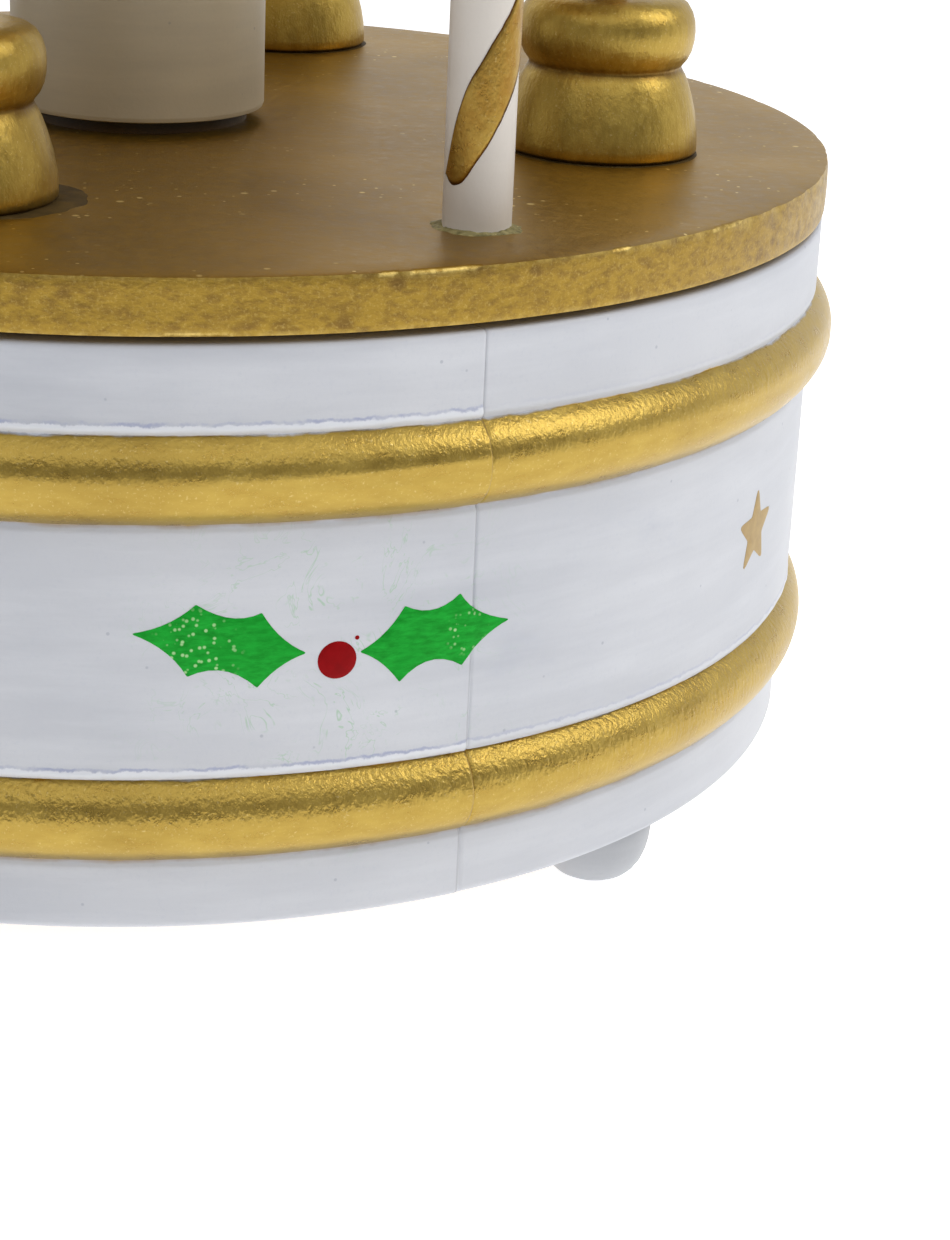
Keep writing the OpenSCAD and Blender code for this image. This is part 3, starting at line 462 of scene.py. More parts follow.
def makeDrumPaint(name, bands, seam=None, stains=()):
    # white with gilt beads whose painted edge wavers a little; where there is a seam, the white above the
    # beads beside it, where the wall is heaped, is painted lighter as a painted highlight, with a blue-grey
    # line of painted shadow over it, and green is wiped round each of the stains
    p = Paint(name)
    s = drumSet
    white, whiteRough, whiteHeight = whiteLayers(p)
    x, y, z = p.split(p.coords)
    lowest = min(bands) if seam else None
    crinkles = []
    for low, high in bands:
        start, full = s["lowCrinkle"] if (low, high) == lowest else s["crinkle"]
        rise = p.scaled(z, low + (high - low) * start, low + (high - low) * (start + 0.33), 0.22, full, True)
        crinkles.append(p.times(rise, p.scaled(z, high + 0.0005, high + 0.0006, 1, 0)))
    gold, goldRough, goldHeight = goldLayers(p, p.most(crinkles))
    for spot in stains:
        near = p.scaled(p.distance(p.coords, spot), 0.003, 0.019, 1, 0, True)
        scratch = p.scaled(p.apart(p.grain(4.5, 3, 0.7, distortion=1.5), 0.5), 0.0, 0.014, 0.75, 0)
        thin = p.times(scratch, p.scaled(p.grain(3.1, 3, 0.6), 0.45, 0.6, 0, 1))
        white = p.mix(p.times(near, thin), white, s["wiped"])
    level = p.plus(z, p.ragged(p.grain(5, 4, 0.65), 0.0007))
    mask = p.most([p.between(level, low, high, 0.00006) for low, high in bands])
    mask = p.times(mask, p.scaled(p.radius(x, y), 0.0545, 0.0548, 0, 1))
    if seam:
        off = p.minus(p.calc("ARCTAN2", y, x), seam)
        top = p.plus(z, p.ragged(p.grain(1.1, 4, 0.7), 0.0007))
        dashes = p.scaled(p.grain(3.5, 4, 0.7), 0.40, 0.58, 0.15, 1)
        for low, high in bands:
            beyond = s["lowBeyond"] if (low, high) == lowest else s["beyond"]
            strong = p.scaled(off, -0.002, 0.002, s["heap"], s["heap"] * beyond)
            heap = p.between(top, high + 0.00005, high + 0.00075, 0.00005)
            # a lighter white on the heaped ridge as painted highlight, a blue-grey line above it as painted
            # shadow
            white = p.mix(p.times(heap, strong), white, s["ridgeHighlight"])
            line = p.scaled(p.apart(top, high + 0.00085), 0.00003, 0.00017, 1, 0)
            white = p.mix(p.times(p.times(line, strong), dashes), white, s["line"])
    for low, high in bands:
        # a thin brown line along the lower edge of each bead
        white = p.mix(p.scaled(p.apart(level, low), 0.00005, 0.00030, 0.6, 0), white, s["beadFootBrown"])
    colour = p.mix(mask, white, gold)
    if seam:
        line = p.scaled(p.calc("ABSOLUTE", off), 0.0005, 0.0018, 1, 0)
        colour = p.mix(p.times(line, p.scaled(mask, 0, 1, 0.34, 0.12)), colour, s["seam"])
    skin = p.bump(p.mixNumber(mask, whiteHeight, goldHeight), 0.6, 0.10, p.bump(mask, 0.4, 0.05))
    return p.finish(colour, p.mixNumber(mask, whiteRough, goldRough), skin, p.times(mask, s["metal"]))


def makeBoard(name):
    # dull gilt plywood: brown gold face, lighter pitted edge, worn bright arris
    p = Paint(name)
    s = boardSet
    fine = p.grain(1.1, 5, 0.7)
    face = p.over(s["deep"], s["base"], p.grain(16, 4, 0.6), 0.3, 0.72)
    face = p.over(face, s["light"], fine, 0.45, 0.8, 0.55)
    drift = p.scaled(p.grain(13, 3, 0.6), 0.46, 0.62, 0.04, 1, True)
    for size, wide in s["specks"]:
        face = p.mix(p.times(p.scaled(p.dots(size), wide * 0.6, wide, 0.9, 0.0), drift), face, s["dust"])
    pits = p.grain(0.55, 4, 0.65, p.stretch(0.55, 0.55, 1.0))
    patches = p.scaled(p.grain(4, 4, 0.6, p.stretch(0.4, 0.4, 1.0)), 0.44, 0.60, 0, 1, True)
    cells = p.scaled(p.dots(1.5, p.stretch(0.75, 0.75, 1.0)), 0.12, 0.50, 0.85, 0, True)
    edge = p.over(s["edge"], s["pit"], pits, 0.42, 0.66, 0.65)
    edge = p.mix(p.times(cells, patches), edge, s["pit"])
    edge = p.over(edge, s["arris"], p.grain(0.22, 4, 0.7), 0.52, 0.75, 0.4)
    # how level the surface lies tells the face from the edge, and the arris from both
    level = p.calc("ABSOLUTE", p.split(p.put("ShaderNodeNewGeometry").outputs["Normal"])["Z"])
    colour = p.over(edge, face, level, 0.45, 0.75)
    arris = p.scaled(p.minus(1.0, p.apart(p.times(level, 2.0), 1.0)), 0.2, 0.7, 0, 1)
    worn = p.times(arris, p.scaled(p.grain(1.1, 4, 0.7), 0.44, 0.60, 0.15, 1))
    colour = p.mix(worn, colour, s["arris"])
    height = p.plus(p.times(fine, 0.5), p.times(pits, p.scaled(level, 0.45, 0.75, 1.6, 0.5)))
    rough = p.scaled(fine, 0.3, 0.7, 0.34, 0.48)
    return p.finish(colour, rough, p.bump(height, 0.4, 0.08), p.scaled(level, 0.45, 0.75, 0.75, 0.85))


def makeRibbon(name):
    # gilt ribbon with a dark brown line along both edges, partly a brown outline and partly painted shadow
    p = Paint(name)
    colour, rough, height = goldLayers(p, 1.2, (1.0, 1.0, 1.0), 0.45)
    colour = p.mix(p.scaled(p.grain(4, 4, 0.7), 0.35, 0.65, 0.2, 0.8), colour, ribbonSet["deep"])
    gap = p.plus(p.attribute("edgeGap"), p.ragged(p.grain(0.5, 3, 0.6), 0.0003))
    colour = p.mix(p.scaled(gap, 0.00008, 0.00030, 1, 0), colour, ribbonSet["outline"])
    return p.finish(colour, rough, p.bump(height, 0.5, 0.10), 0.80)


def makeLeaf(name, pale, wide):
    # stencilled green: streaky brush marks and a patch of pale pin bubbles, by the flat map in cm
    p = Paint(name)
    s = leafSet
    flat = p.put("ShaderNodeUVMap", uv_map="flat").outputs["UV"]
    long = p.put("ShaderNodeMapping", {"Vector": flat, "Scale": (0.5, 1.6, 1)}).outputs["Vector"]
    brush = p.put("ShaderNodeTexNoise", {"Vector": long, "Scale": 14, "Detail": 5, "Roughness": 0.65})
    brush = brush.outputs["Fac"]
    cloud = p.put("ShaderNodeTexNoise", {"Vector": flat, "Scale": 3, "Detail": 3}).outputs["Fac"]
    colour = p.over(s["dark"], s["light"], brush, 0.35, 0.68)
    colour = p.over(colour, s["cloud"], cloud, 0.5, 0.75, 0.5)
    bubbles = p.put("ShaderNodeTexVoronoi", {"Vector": flat, "Scale": 20}, feature="F1").outputs["Distance"]
    area = p.scaled(p.distance(flat, pale), wide * 0.5, wide, 1, 0, True)
    dot = p.times(p.scaled(bubbles, 0.16, 0.31, 1, 0), area)
    colour = p.mix(p.times(dot, 0.9), colour, s["bubble"])
    height = p.minus(p.times(brush, 0.5), p.times(dot, 0.6))
    rough = p.scaled(brush, 0.3, 0.7, 0.50, 0.66)
    return p.finish(colour, rough, p.bump(height, 0.4, 0.06), Specular_IOR_Level=0.12)


def makePlain(name, colour, second, rough, metal, size, depth=0.05, strength=0.25, flake=0, shine=0.5):
    # a finish of two close tones with a fine skin, for paint, wood filler, nylon and cast metal
    p = Paint(name)
    tone = p.grain(size, 4, 0.6)
    mixed = p.over(colour, second, tone, 0.35, 0.7)
    if flake:
        mixed = p.mix(p.scaled(p.dots(flake), 0.05, 0.11, 0.8, 0), mixed, goldSet["flake"])
    height = p.plus(p.times(tone, 0.5), p.times(p.grain(size / 5, 3, 0.6), 0.5))
    return p.finish(mixed, p.scaled(tone, 0.3, 0.7, rough - 0.05, rough + 0.08),
                    p.bump(height, strength, depth), metal, Specular_IOR_Level=shine)


def makeMetal(name, colour, second, rough, turnedAbout=None):
    # machined metal: tool rings or a straight brush, and light tarnish
    p = Paint(name)
    if turnedAbout == "Z":
        x, y, z = p.split(p.coords)
        marks = p.grain(0.5, 3, 0.6, p.point(p.radius(x, y), z, 0.0))
    else:
        marks = p.grain(0.5, 4, 0.6, p.stretch(0.08, 1.0, 1.0))
    mixed = p.over(colour, second, p.grain(4, 4, 0.6), 0.4, 0.75, 0.8)
    mixed = p.over(mixed, "#ffffff", marks, 0.5, 0.8, 0.3)
    worn = p.scaled(marks, 0.3, 0.7, rough - 0.06, rough + 0.10)
    return p.finish(mixed, worn, p.bump(marks, 0.2, 0.03), 1.0)


def makeWood(name):
    # bare limewood board, grain along X with darker growth lines
    p = Paint(name)
    x, y, z = p.split(p.coords)
    bend = p.times(p.grain(45, 2, 0.5), 0.012)
    line = p.point(p.times(x, 0.06), p.plus(y, bend), z)
    fibre = p.grain(0.5, 4, 0.7, line)
    colour = p.over(woodSet["dark"], woodSet["light"], p.grain(3.5, 4, 0.6, line), 0.3, 0.72)
    colour = p.over(colour, woodSet["fibre"], fibre, 0.5, 0.8, 0.4)
    return p.finish(colour, p.scaled(fibre, 0.3, 0.7, 0.55, 0.72), p.bump(fibre, 0.3, 0.08))


def makeHorsePaint(name):
    # ivory paint with soft grey dapples and darker lower legs
    p = Paint(name)
    s = horseSet
    tone = p.grain(3.5, 4, 0.6)
    colour = p.over(s["shade"], s["light"], tone, 0.3, 0.7)
    rings = p.scaled(p.dots(2.4, kind="SMOOTH_F1"), 0.30, 0.62, 0, 1, True)
    colour = p.mix(p.times(p.times(rings, p.attribute("dapple")), 0.45), colour, s["dapple"])
    colour = p.mix(p.times(p.attribute("dusk"), 0.75), colour, s["leg"])
    return p.finish(colour, p.scaled(tone, 0.3, 0.7, 0.28, 0.40), p.bump(p.grain(0.5, 3, 0.6), 0.18, 0.04))


drumSize = {"middle": 57.0, "top": 57.3, "low": 56.5, "inner": 46.5, "chamber": 41.5, "deck": 53.03,
            "floor": 18.0, "beadHigh": 6.18, "beadOut": 1.75, "upperBead": 38.88, "lowerBead": 14.03,
            "edge": 0.6, "groove": 0.16, "heap": 0.16, "most": 58.83, "seam": math.radians(-65.9)}
# how the wall differs on the two sides of the seam, how far that reaches round it, and the seam's cut
seamSize = {"lean": 0.0035, "proud": 0.07, "proudOver": 7, "sunk": 0.03, "sunkOver": 5, "cut": 0.12,
            "beadCut": 0.05, "wide": 0.11, "drift": 0.035, "driftSize": 17, "heapFrom": 0.1, "heapTo": 0.75,
            "lumps": 1.7, "lowHeap": 0.6}
hollySize = {"firstTurn": -76.18, "height": 25.5, "thick": 0.10, "repeats": 4}
berrySize = {"wide": 1.40, "tall": 0.985, "thick": 0.16}
dripSize = {"x": 1.42, "y": 1.52, "r": 0.16, "thick": 0.06}
starSize = {"firstTurn": -32.2, "height": 26.6, "outer": 3.75, "inner": 0.43, "thick": 0.07}


def onWall(turn, r, z):
    return Vector((r * mm * math.cos(turn), r * mm * math.sin(turn), z * mm))


def repeated(s):
    return [(math.radians(s["firstTurn"] + 90 * i), s["height"]) for i in range(hollySize["repeats"])]


def bandsOf(middles, high):
    return [((z - high / 2) * mm, (z + high / 2) * mm) for z in middles]


holly = repeated(hollySize)
stars = repeated(starSize)
hollySpots = [onWall(turn, drumSize["middle"], z) for turn, z in holly]
beadBands = bandsOf([drumSize["upperBead"], drumSize["lowerBead"]], drumSize["beadHigh"])
# the waist and foot creases of each pedestal are darkened with painted shade
pedestalCreases = [(discTop + 6.9, 1.0), (discTop + 0.1, 0.8)]

white = makeWhite("whitePaint")
# a lighter, warmer copy of the white paint on the poles: painted light
poleLitWhite = makeWhite("polePaint", "#faf3ea", paintedLight=0.5)
# the column's white is tinted warm as painted light thrown up from the gilt board; its neck is painted shadow
columnShadedWhite = makeWhite("columnPaint", "#fdecc6", (discTop + 1.0) * mm)
# a greyer copy of the white paint on the feet: painted shade under the drum
footPaint = makeWhite("footPaint", "#e2e2e0")
gilt = makeGold("giltPaint")
giltPedestal = makeGold("giltPedestal", 1.15, (1.2, 1.2, 0.6), pedestalCreases, 0.06)
giltRod = makePlain("rodGilt", "#8a6227", "#b48a3c", 0.36, 0.85, 1.4)
drumPaint = makeDrumPaint("drumPaint", beadBands, drumSize["seam"], hollySpots)
board = makeBoard("giltBoard")
ribbonPaint = makeRibbon("ribbonPaint")
leafLeft = makeLeaf("leafGreenLeft", (-0.98, 0.13, 0), 0.36)
leafRight = makeLeaf("leafGreenRight", (0.98, 0.10, 0), 0.20)
berryRed = makePlain("berryRed", "#860409", "#96070e", 0.5, 0.0, 1.0, shine=0.08)
starGold = makePlain("starGold", "#a98d58", "#bba06c", 0.5, 0.25, 0.8)
glue = makePlain("driedGlue", "#4a3c22", "#66532f", 0.6, 0.0, 1.5, shine=0.12)
footGlue = makePlain("footGlue", "#a3a19a", "#8b8676", 0.5, 0.0, 1.5, shine=0.3)
crumbs = makePlain("giltCrumbs", "#6a6338", "#b0a572", 0.55, 0.15, 0.5, flake=0.6)
print("materials ready")


def wallStep(a, r, z):
    # the wall stands a little proud on the left of the seam, and the white is heaped above the beads there
    s = seamSize
    off = turned(a - drumSize["seam"] + s["lean"] * (z - drumTop) / (drumTop - drumBottom)) * r
    left = s["proud"] * math.exp(-abs(off) / s["proudOver"])
    lift = left if off < 0 else -s["sunk"] * math.exp(-off / s["sunkOver"])
    x, y = r * math.cos(a), r * math.sin(a)
    wave = s["drift"] * wobble(x, y, z, s["driftSize"])
    for bead, beyond in (("upperBead", 0), ("lowerBead", s["lowHeap"])):
        rise = z - drumSize[bead] - drumSize["beadHigh"] / 2
        if s["heapFrom"] < rise < s["heapTo"]:
            wave += (1 if off < 0 else beyond) * drumSize["heap"] * (0.6 + wobble(x, y, z, s["lumps"], 5))
    return r + lift + wave, off


def seamStep(a, r, z):
    # a fine cut runs up the wall at the seam, shallower over the beads
    if r < drumSize["deck"] + 0.5 or z < drumBottom + 0.05:
        return r, z
    wall, off = wallStep(a, r, z)
    cut = seamSize["cut"] if r < 58.2 else seamSize["beadCut"]
    return min(wall - cut * math.exp(-(off / seamSize["wide"]) ** 2), drumSize["most"]), z


def drumProfile():
    s = drumSize
    g = s["groove"]
    half = s["beadHigh"] / 2
    points = [(s["inner"], drumBottom + 0.25), (s["inner"] + 0.25, drumBottom)]
    points += arcPoints(s["low"] - s["edge"], drumBottom + s["edge"], s["edge"], -90, 0, 12)
    # the beads stand between three bands of the wall: below, above, and where the upper one ends
    for r, foot, bead, above, end in (
            (s["low"], s["low"], s["lowerBead"], s["middle"], s["upperBead"] - half - 1.2),
            (s["middle"], s["middle"] + 0.1, s["upperBead"], s["top"], drumTop - 0.35)):
        low, high = bead - half, bead + half
        points += [(r, low - 0.75), (r - 0.02, low - 0.45), (r - g, low - 0.2), (r - g, low - 0.06)]
        points += beadArc(foot, bead, s["beadOut"], s["beadHigh"])
        points += [(above - g, high + 0.06), (above - g, high + 0.2)]
        points += [(above, high + rise) for rise in (0.42, 0.6, 0.9)]
        points += [(above, z) for z in evenly(high + 1.4, end, 5)]
    points += [(s["top"] - 0.1, drumTop - 0.1), (s["top"] - 0.35, drumTop), (s["deck"] + 0.02, drumTop)]
    return points + [(s["deck"], drumTop - 4), (s["chamber"], drumTop - 4), (s["chamber"], s["floor"]),
                     (s["inner"], s["floor"])]


def drumTurns():
    # even turns, and finer ones close to the seam
    seam, r = drumSize["seam"], drumSize["middle"]
    near = [0.0, 0.06, 0.12, 0.19, 0.28, 0.42, 0.65, 1.0, 1.5]
    fine = [seam + k * n / r for n in near for k in (-1, 1)][1:]
    plain = [a for a in around(320) if abs(turned(a - seam)) > 2.0 / r]
    return sorted(a % (2 * math.pi) for a in plain + fine)


drum = lathe("drum", drumProfile(), drumPaint, drumTurns(), change=seamStep, ring=True, sharp=50)
settle(drum, "base", "white_paint", "drum_shell")
print("drum turned")


def bow(start, pull, end, steps):
    # points from start towards end along a curve that the pull point draws to itself
    start, pull, end = Vector(start), Vector(pull), Vector(end)
    return [(1 - t) ** 2 * start + 2 * t * (1 - t) * pull + t * t * end for t in evenly(0, 1, steps)]


def outlineOf(corners):
    # corners are leaf tips with the pull point of the hollow that follows each: [(tip), (pull)] pairs in mm
    points = []
    for i, (tip, pull) in enumerate(corners):
        points += bow(tip, pull, corners[(i + 1) % len(corners)][0], 7)[:-1]
    return points


def smoothed(outline, radius=0.35):
    # the closed outline with its corners rounded off
    out = []
    for i, here in enumerate(Vector(p) for p in outline):
        a = Vector(outline[i - 1]) - here
        b = Vector(outline[(i + 1) % len(outline)]) - here
        turn = a.angle(b)
        if turn < 0.05 or abs(turn - math.pi) < 0.02:
            out.append(here)
            continue
        cut = min(radius / math.tan(turn / 2), a.length * 0.48, b.length * 0.48)
        out += bow(here + a.normalized() * cut, here, here + b.normalized() * cut, 3)
    return out


# how far paint lies over the wall and reaches into it, how wide its rounded edge is, how far inside the
# edge a ring of points follows it, and how near to the edge that ring and the other points may come
coatSize = {"lift": 0.02, "sunk": 0.12, "edge": 0.35, "ring": 0.14, "ringNear": 0.08, "near": 0.16}


def paintPatch(name, outline, turn, height, radius, thick, material, follow=None, grid=0.8):
    # a thin coat of paint in the flat outline (mm), wrapped on a wall of that radius and closed behind;
    # follow is the rule that bends the wall itself
    flat = [Vector(p) for p in outline]
    sides = [(a, flat[(i + 1) % len(flat)]) for i, a in enumerate(flat)]
    low = Vector((min(p.x for p in flat), min(p.y for p in flat)))
    high = Vector((max(p.x for p in flat), max(p.y for p in flat)))

    def reach(p):
        # how far inside the edge a point lies
        best = 1e9
        for a, b in sides:
            t = max(0, min(1, (p - a).dot(b - a) / max((b - a).length_squared, 1e-12)))
            best = min(best, (a + t * (b - a) - p).length)
        return best

    def inside(p):
        hit = False
        for a, b in sides:
            if (a.y > p.y) != (b.y > p.y) and p.x < (b.x - a.x) * (p.y - a.y) / (b.y - a.y) + a.x:
                hit = not hit
        return hit

    ring = []
    for i, a in enumerate(flat):
        square = (a - flat[i - 1]).orthogonal().normalized()
        ring += [a + square * s * coatSize["ring"] for s in (-1, 1)]
    ring = [p for p in ring if inside(p) and reach(p) > coatSize["ringNear"]]
    inner = [Vector((low.x + (i + 0.25 + 0.5 * (k % 2)) * grid, low.y + (k + 0.5) * grid))
             for i in range(int((high.x - low.x) / grid) + 1)
             for k in range(int((high.y - low.y) / grid) + 1)]
    inner = [p for p in inner if inside(p) and reach(p) > coatSize["near"]]
    cut = delaunay_2d_cdt(flat + ring + inner, [], [list(range(len(flat)))], 1, 1e-5)
    verts, faces = cut[0], cut[2]
    tops, backs, uvs = [], [], []
    for v in (Vector(p) for p in verts):
        a = turn + v.x / radius
        wall = follow(a, radius, height + v.y)[0] if follow else radius
        coat = coatSize["lift"] + thick * smooth(reach(v) / coatSize["edge"])
        tops.append(onWall(a, wall + coat, height + v.y))
        backs.append(onWall(a, wall - coatSize["sunk"], height + v.y))
        uvs.append((v.x / 10, v.y / 10))
    shift = len(tops)
    skin = [tuple(f) for f in faces] + [tuple(i + shift for i in reversed(f)) for f in faces]
    used = [pair for f in faces for pair in zip(f, list(f[1:]) + [f[0]])]
    known = set(used)
    skin += [(a, a + shift, b + shift, b) for a, b in used if (b, a) not in known]
    piece = meshPiece(name, tops + backs, skin, material, 60)
    layer = piece.data.uv_layers.new(name="flat")
    for loop in piece.data.loops:
        layer.data[loop.index].uv = uvs[loop.vertex_index % shift]
    bpy.context.view_layer.update()
    return piece


# each tip of the leaf with the pull of the hollow after it, in mm along the wall and up from the berry
leftLeaf = [((-14.29, 2.55), (-11.7, 2.9)), ((-9.87, 4.60), (-7.4, 2.9)), ((-5.37, 3.84), (-4.1, 1.6)),
            ((-2.16, 0.71), (-4.1, 0.2)), ((-5.63, -1.63), (-7.9, 0.6)), ((-10.44, -0.62), (-11.7, 1.6))]
rightLeaf = [((1.59, 0.43), (3.6, 1.3)), ((4.91, 3.47), (7.2, 2.2)), ((9.18, 3.87), (10.3, 2.0)),
             ((13.46, 1.25), (11.2, 0.6)), ((9.52, -1.58), (6.9, 0.2)), ((4.67, -2.17), (3.3, -0.2))]
leftLeaf, rightLeaf = outlineOf(leftLeaf), outlineOf(rightLeaf)
s = berrySize
berry = [(s["wide"] * math.cos(a), s["wide"] * s["tall"] * math.sin(a)) for a in around(40)]
s = dripSize
drip = [(s["x"] + s["r"] * math.cos(a), s["y"] + s["r"] * math.sin(a)) for a in around(12)]
star = []
for k in range(10):
    size = starSize["outer"] * (1 if k % 2 == 0 else starSize["inner"])
    a = math.radians(90 + 36 * k)
    star.append((size * math.cos(a), size * math.sin(a)))
star = smoothed(star)

hollyCoats = [("left_leaf", smoothed(leftLeaf, 0.12), hollySize["thick"], leafLeft),
              ("right_leaf", smoothed(rightLeaf, 0.12), hollySize["thick"], leafRight),
              ("berry", berry, berrySize["thick"], berryRed),
              ("berry_drip", drip, dripSize["thick"], berryRed)]
for spots, coats in ((holly, hollyCoats), (stars, [("star", star, starSize["thick"], starGold)])):
    for i, (turn, height) in enumerate(spots):
        for label, outline, thick, material in coats:
            piece = paintPatch("%s_%d" % (label, i + 1), outline, turn, height, drumSize["middle"], thick,
                               material, wallStep)
            settle(piece, "base", "white_paint")
print("leaves, berries and stars painted")

footCurve = [(0, 0), (2.1, 0), (2.45, 0.05), (2.95, 0.32), (3.45, 0.80), (3.90, 1.48), (4.22, 2.3),
             (4.42, 3.2), (4.5, 4.1), (4.48, 4.8), (4.42, 5.2), (4.36, drumBottom), (0, drumBottom)]
footGlueSize = {"r": 4.35, "out": 0.32, "low": 0.10, "high": 0.16, "ragged": 0.12}
for i, spot in enumerate(footSpots):
    s = footGlueSize
    foot = lathe("ball_foot_%d" % (i + 1), footCurve, footPaint, 64, (spot.x, spot.y),
                 lambda a, r, z: (r * (1 + 0.008 * wobble(math.cos(a), math.sin(a), z / 3, 1.3, i)), z))
    settle(foot, "base", "white_paint", "foot_%d" % (i + 1))
    line = [(s["r"] + s["out"] * math.cos(a), drumBottom - s["low"] + s["high"] * math.sin(a))
            for a in around(12)]
    bead = lathe("foot_glue_%d" % (i + 1), line, footGlue, 64, (spot.x, spot.y), ring=True,
                 change=lambda a, r, z: (r + s["ragged"] * wobbleRound(a, 3, i), min(z, drumBottom)))
    settle(bead, "base", "white_paint")
print("feet turned")

boardSize = {"arris": 0.3, "steps": 640, "chip": 0.22, "hub": 11.03, "spigot": 6.03, "flange": 1.6,
             "edgeFrom": 57, "waver": 0.05}


def boardProfile(low, high, hub):
    # a disc with a broken arris; the lower face may have a step for the hub
    a, r = boardSize["arris"], discR
    step = low + boardSize["flange"]
    inside = [(boardSize["spigot"], step), (boardSize["hub"], step), (boardSize["hub"], low)]
    edge = [(r - a - 0.1, 0), (r - a * 0.3, a * 0.3), (r - 0.02, a + 0.1)]
    points = (inside if hub else [(boardSize["spigot"], low)]) + [(20, low), (40, low)]
    points += [(x, low + up) for x, up in edge] + [(r, z) for z in evenly(low, high, 4)[1:-1]]
    points += [(x, high - up) for x, up in reversed(edge)]
    return points + [(r * k, high) for k in (0.95, 0.8, 0.6, 0.4, 0.2)] + [(boardSize["spigot"], high)]


def boardEdge(a, r, z):
    # the edge is slightly out of true and chipped at its upper arris
    if r > boardSize["edgeFrom"]:
        r = r - boardSize["waver"] + boardSize["waver"] * wobbleRound(a, 9, z / 2)
        chip = boardSize["chip"] * max(0, wobbleRound(a, 45, z * 0.2, 3) - 0.12)
        r -= chip if min(abs(z - discTop), abs(z - ceilTop)) < 0.6 else 0.05 * chip
    return r, z


for name, low, high, node in (("turntable_disc", discBottom, discTop, "platform"),
                              ("ceiling_disc", ceilBottom, ceilTop, "canopy_ceiling")):
    profile = boardProfile(low, high, node == "platform")
    disc = lathe(name, profile, board, boardSize["steps"], change=boardEdge, ring=True, sharp=60)
    settle(disc, "carousel", "gilt_board", node)
print("boards cut")

columnSize = {"r": 10.45, "neck": 9.0, "neckHigh": 1.0, "spigot": 6.0}
s = columnSize
foot = discTop + s["neckHigh"]
profile = [(0, columnBottom), (s["spigot"], columnBottom), (s["spigot"], discTop), (s["neck"], discTop),
           (s["neck"], foot - 0.1), (s["neck"] + 0.1, foot), (s["r"] - 0.45, foot),
           (s["r"] - 0.12, foot + 0.13), (s["r"], foot + 0.45)]
profile += [(s["r"], z) for z in evenly(foot + 0.5, ceilBottom - 0.5, 16)]
profile += [(s["r"] - 0.15, ceilBottom - 0.1), (s["r"] - 0.5, ceilBottom), (s["spigot"], ceilBottom),
            (s["spigot"], columnTop), (0, columnTop)]
column = lathe("middle_column", profile, columnShadedWhite, 160, sharp=40, change=uneven(0.03, 0, 2, 14, 10))
settle(column, "carousel", "white_paint", "center_column")

poleSize = {"r": 2.5, "steps": 64, "socket": 2.2}
ribbonSizes = {"Radius": 0.0025, "Bottom": 0.0, "Top": 0.0, "Lead": 0.0270, "Width": 0.0068,
               "Tip Length": 0.0040, "Start Angle": 0.0, "Lift": 0.00006, "Center X": 0.0, "Center Y": 0.0,
               "Seed": 0.0}
ribbonLay = {"foot": 3.9, "head": 3.5, "turn": -162.5, "seed": 7.3, "thick": 0.13}


def ribbonRule():
    # a flat strip bent into a rising turn: pointed at its lower end, its edges wavering like brushwork
    g = Rule("poleRibbon", ribbonSizes, ribbonPaint)
    strip, x, y = g.strip(561, 13)
    climb = g.times(g.plus(x, 0.5), g.minus(g.size("Top"), g.size("Bottom")))
    angle = g.timesPlus(g.calc("DIVIDE", climb, g.size("Lead")), 2 * math.pi, g.size("Start Angle"))
    tip = g.calc("DIVIDE", climb, g.size("Tip Length"), clamp=True)
    taper = g.times(tip, g.minus(2.0, tip))
    brush = g.put("ShaderNodeTexNoise", {"W": g.plus(g.times(climb, 260.0), g.size("Seed")), "Scale": 1.0,
                                         "Detail": 3.0}, noise_dimensions="1D").outputs[0]
    waver = g.timesPlus(g.minus(brush, 0.5), 0.24, 1.0)
    width = g.times(g.times(g.size("Width"), taper), waver)
    height = g.plus(g.plus(climb, g.size("Bottom")), g.times(y, width))
    side = g.calc("ABSOLUTE", y)
    gap = g.times(g.minus(0.5, side), width)
    radius = g.plus(g.size("Radius"), g.timesPlus(g.dome(side), g.size("Lift"), 0.000012))
    marked = g.put("GeometryNodeStoreNamedAttribute", {"Geometry": strip, "Name": "edgeGap", "Value": gap},
                   data_type="FLOAT", domain="POINT").outputs[0]
    return g.close(g.wrap(marked, angle, radius, height, g.size("Center X"), g.size("Center Y")))


ribbon = ribbonRule()
for i, spot in enumerate(poleSpots):
    r, socket = poleSize["r"], poleSize["socket"]
    low, high = discTop - socket, ceilBottom + socket
    profile = [(0, low)] + [(r, z) for z in evenly(low, high, 24)] + [(0, high)]
    pole = lathe("pole_white_%d" % (i + 1), profile, poleLitWhite, poleSize["steps"], (spot.x, spot.y),
                 uneven(0.02, 0.02, 1, 9, 1, i))
    settle(pole, "carousel", "striped_pole", "pole_%d" % (i + 1))
    stripe = ribbon.run("pole_ribbon_%d" % (i + 1), Bottom=(discTop + ribbonLay["foot"]) * mm,
                        Top=(ceilBottom - ribbonLay["head"]) * mm, CenterX=spot.x, CenterY=spot.y,
                        StartAngle=math.radians(ribbonLay["turn"] + 90 * i), Seed=ribbonLay["seed"] * i)
    thicken(stripe, ribbonLay["thick"])
    settle(stripe, "carousel", "striped_pole")
print("poles striped")

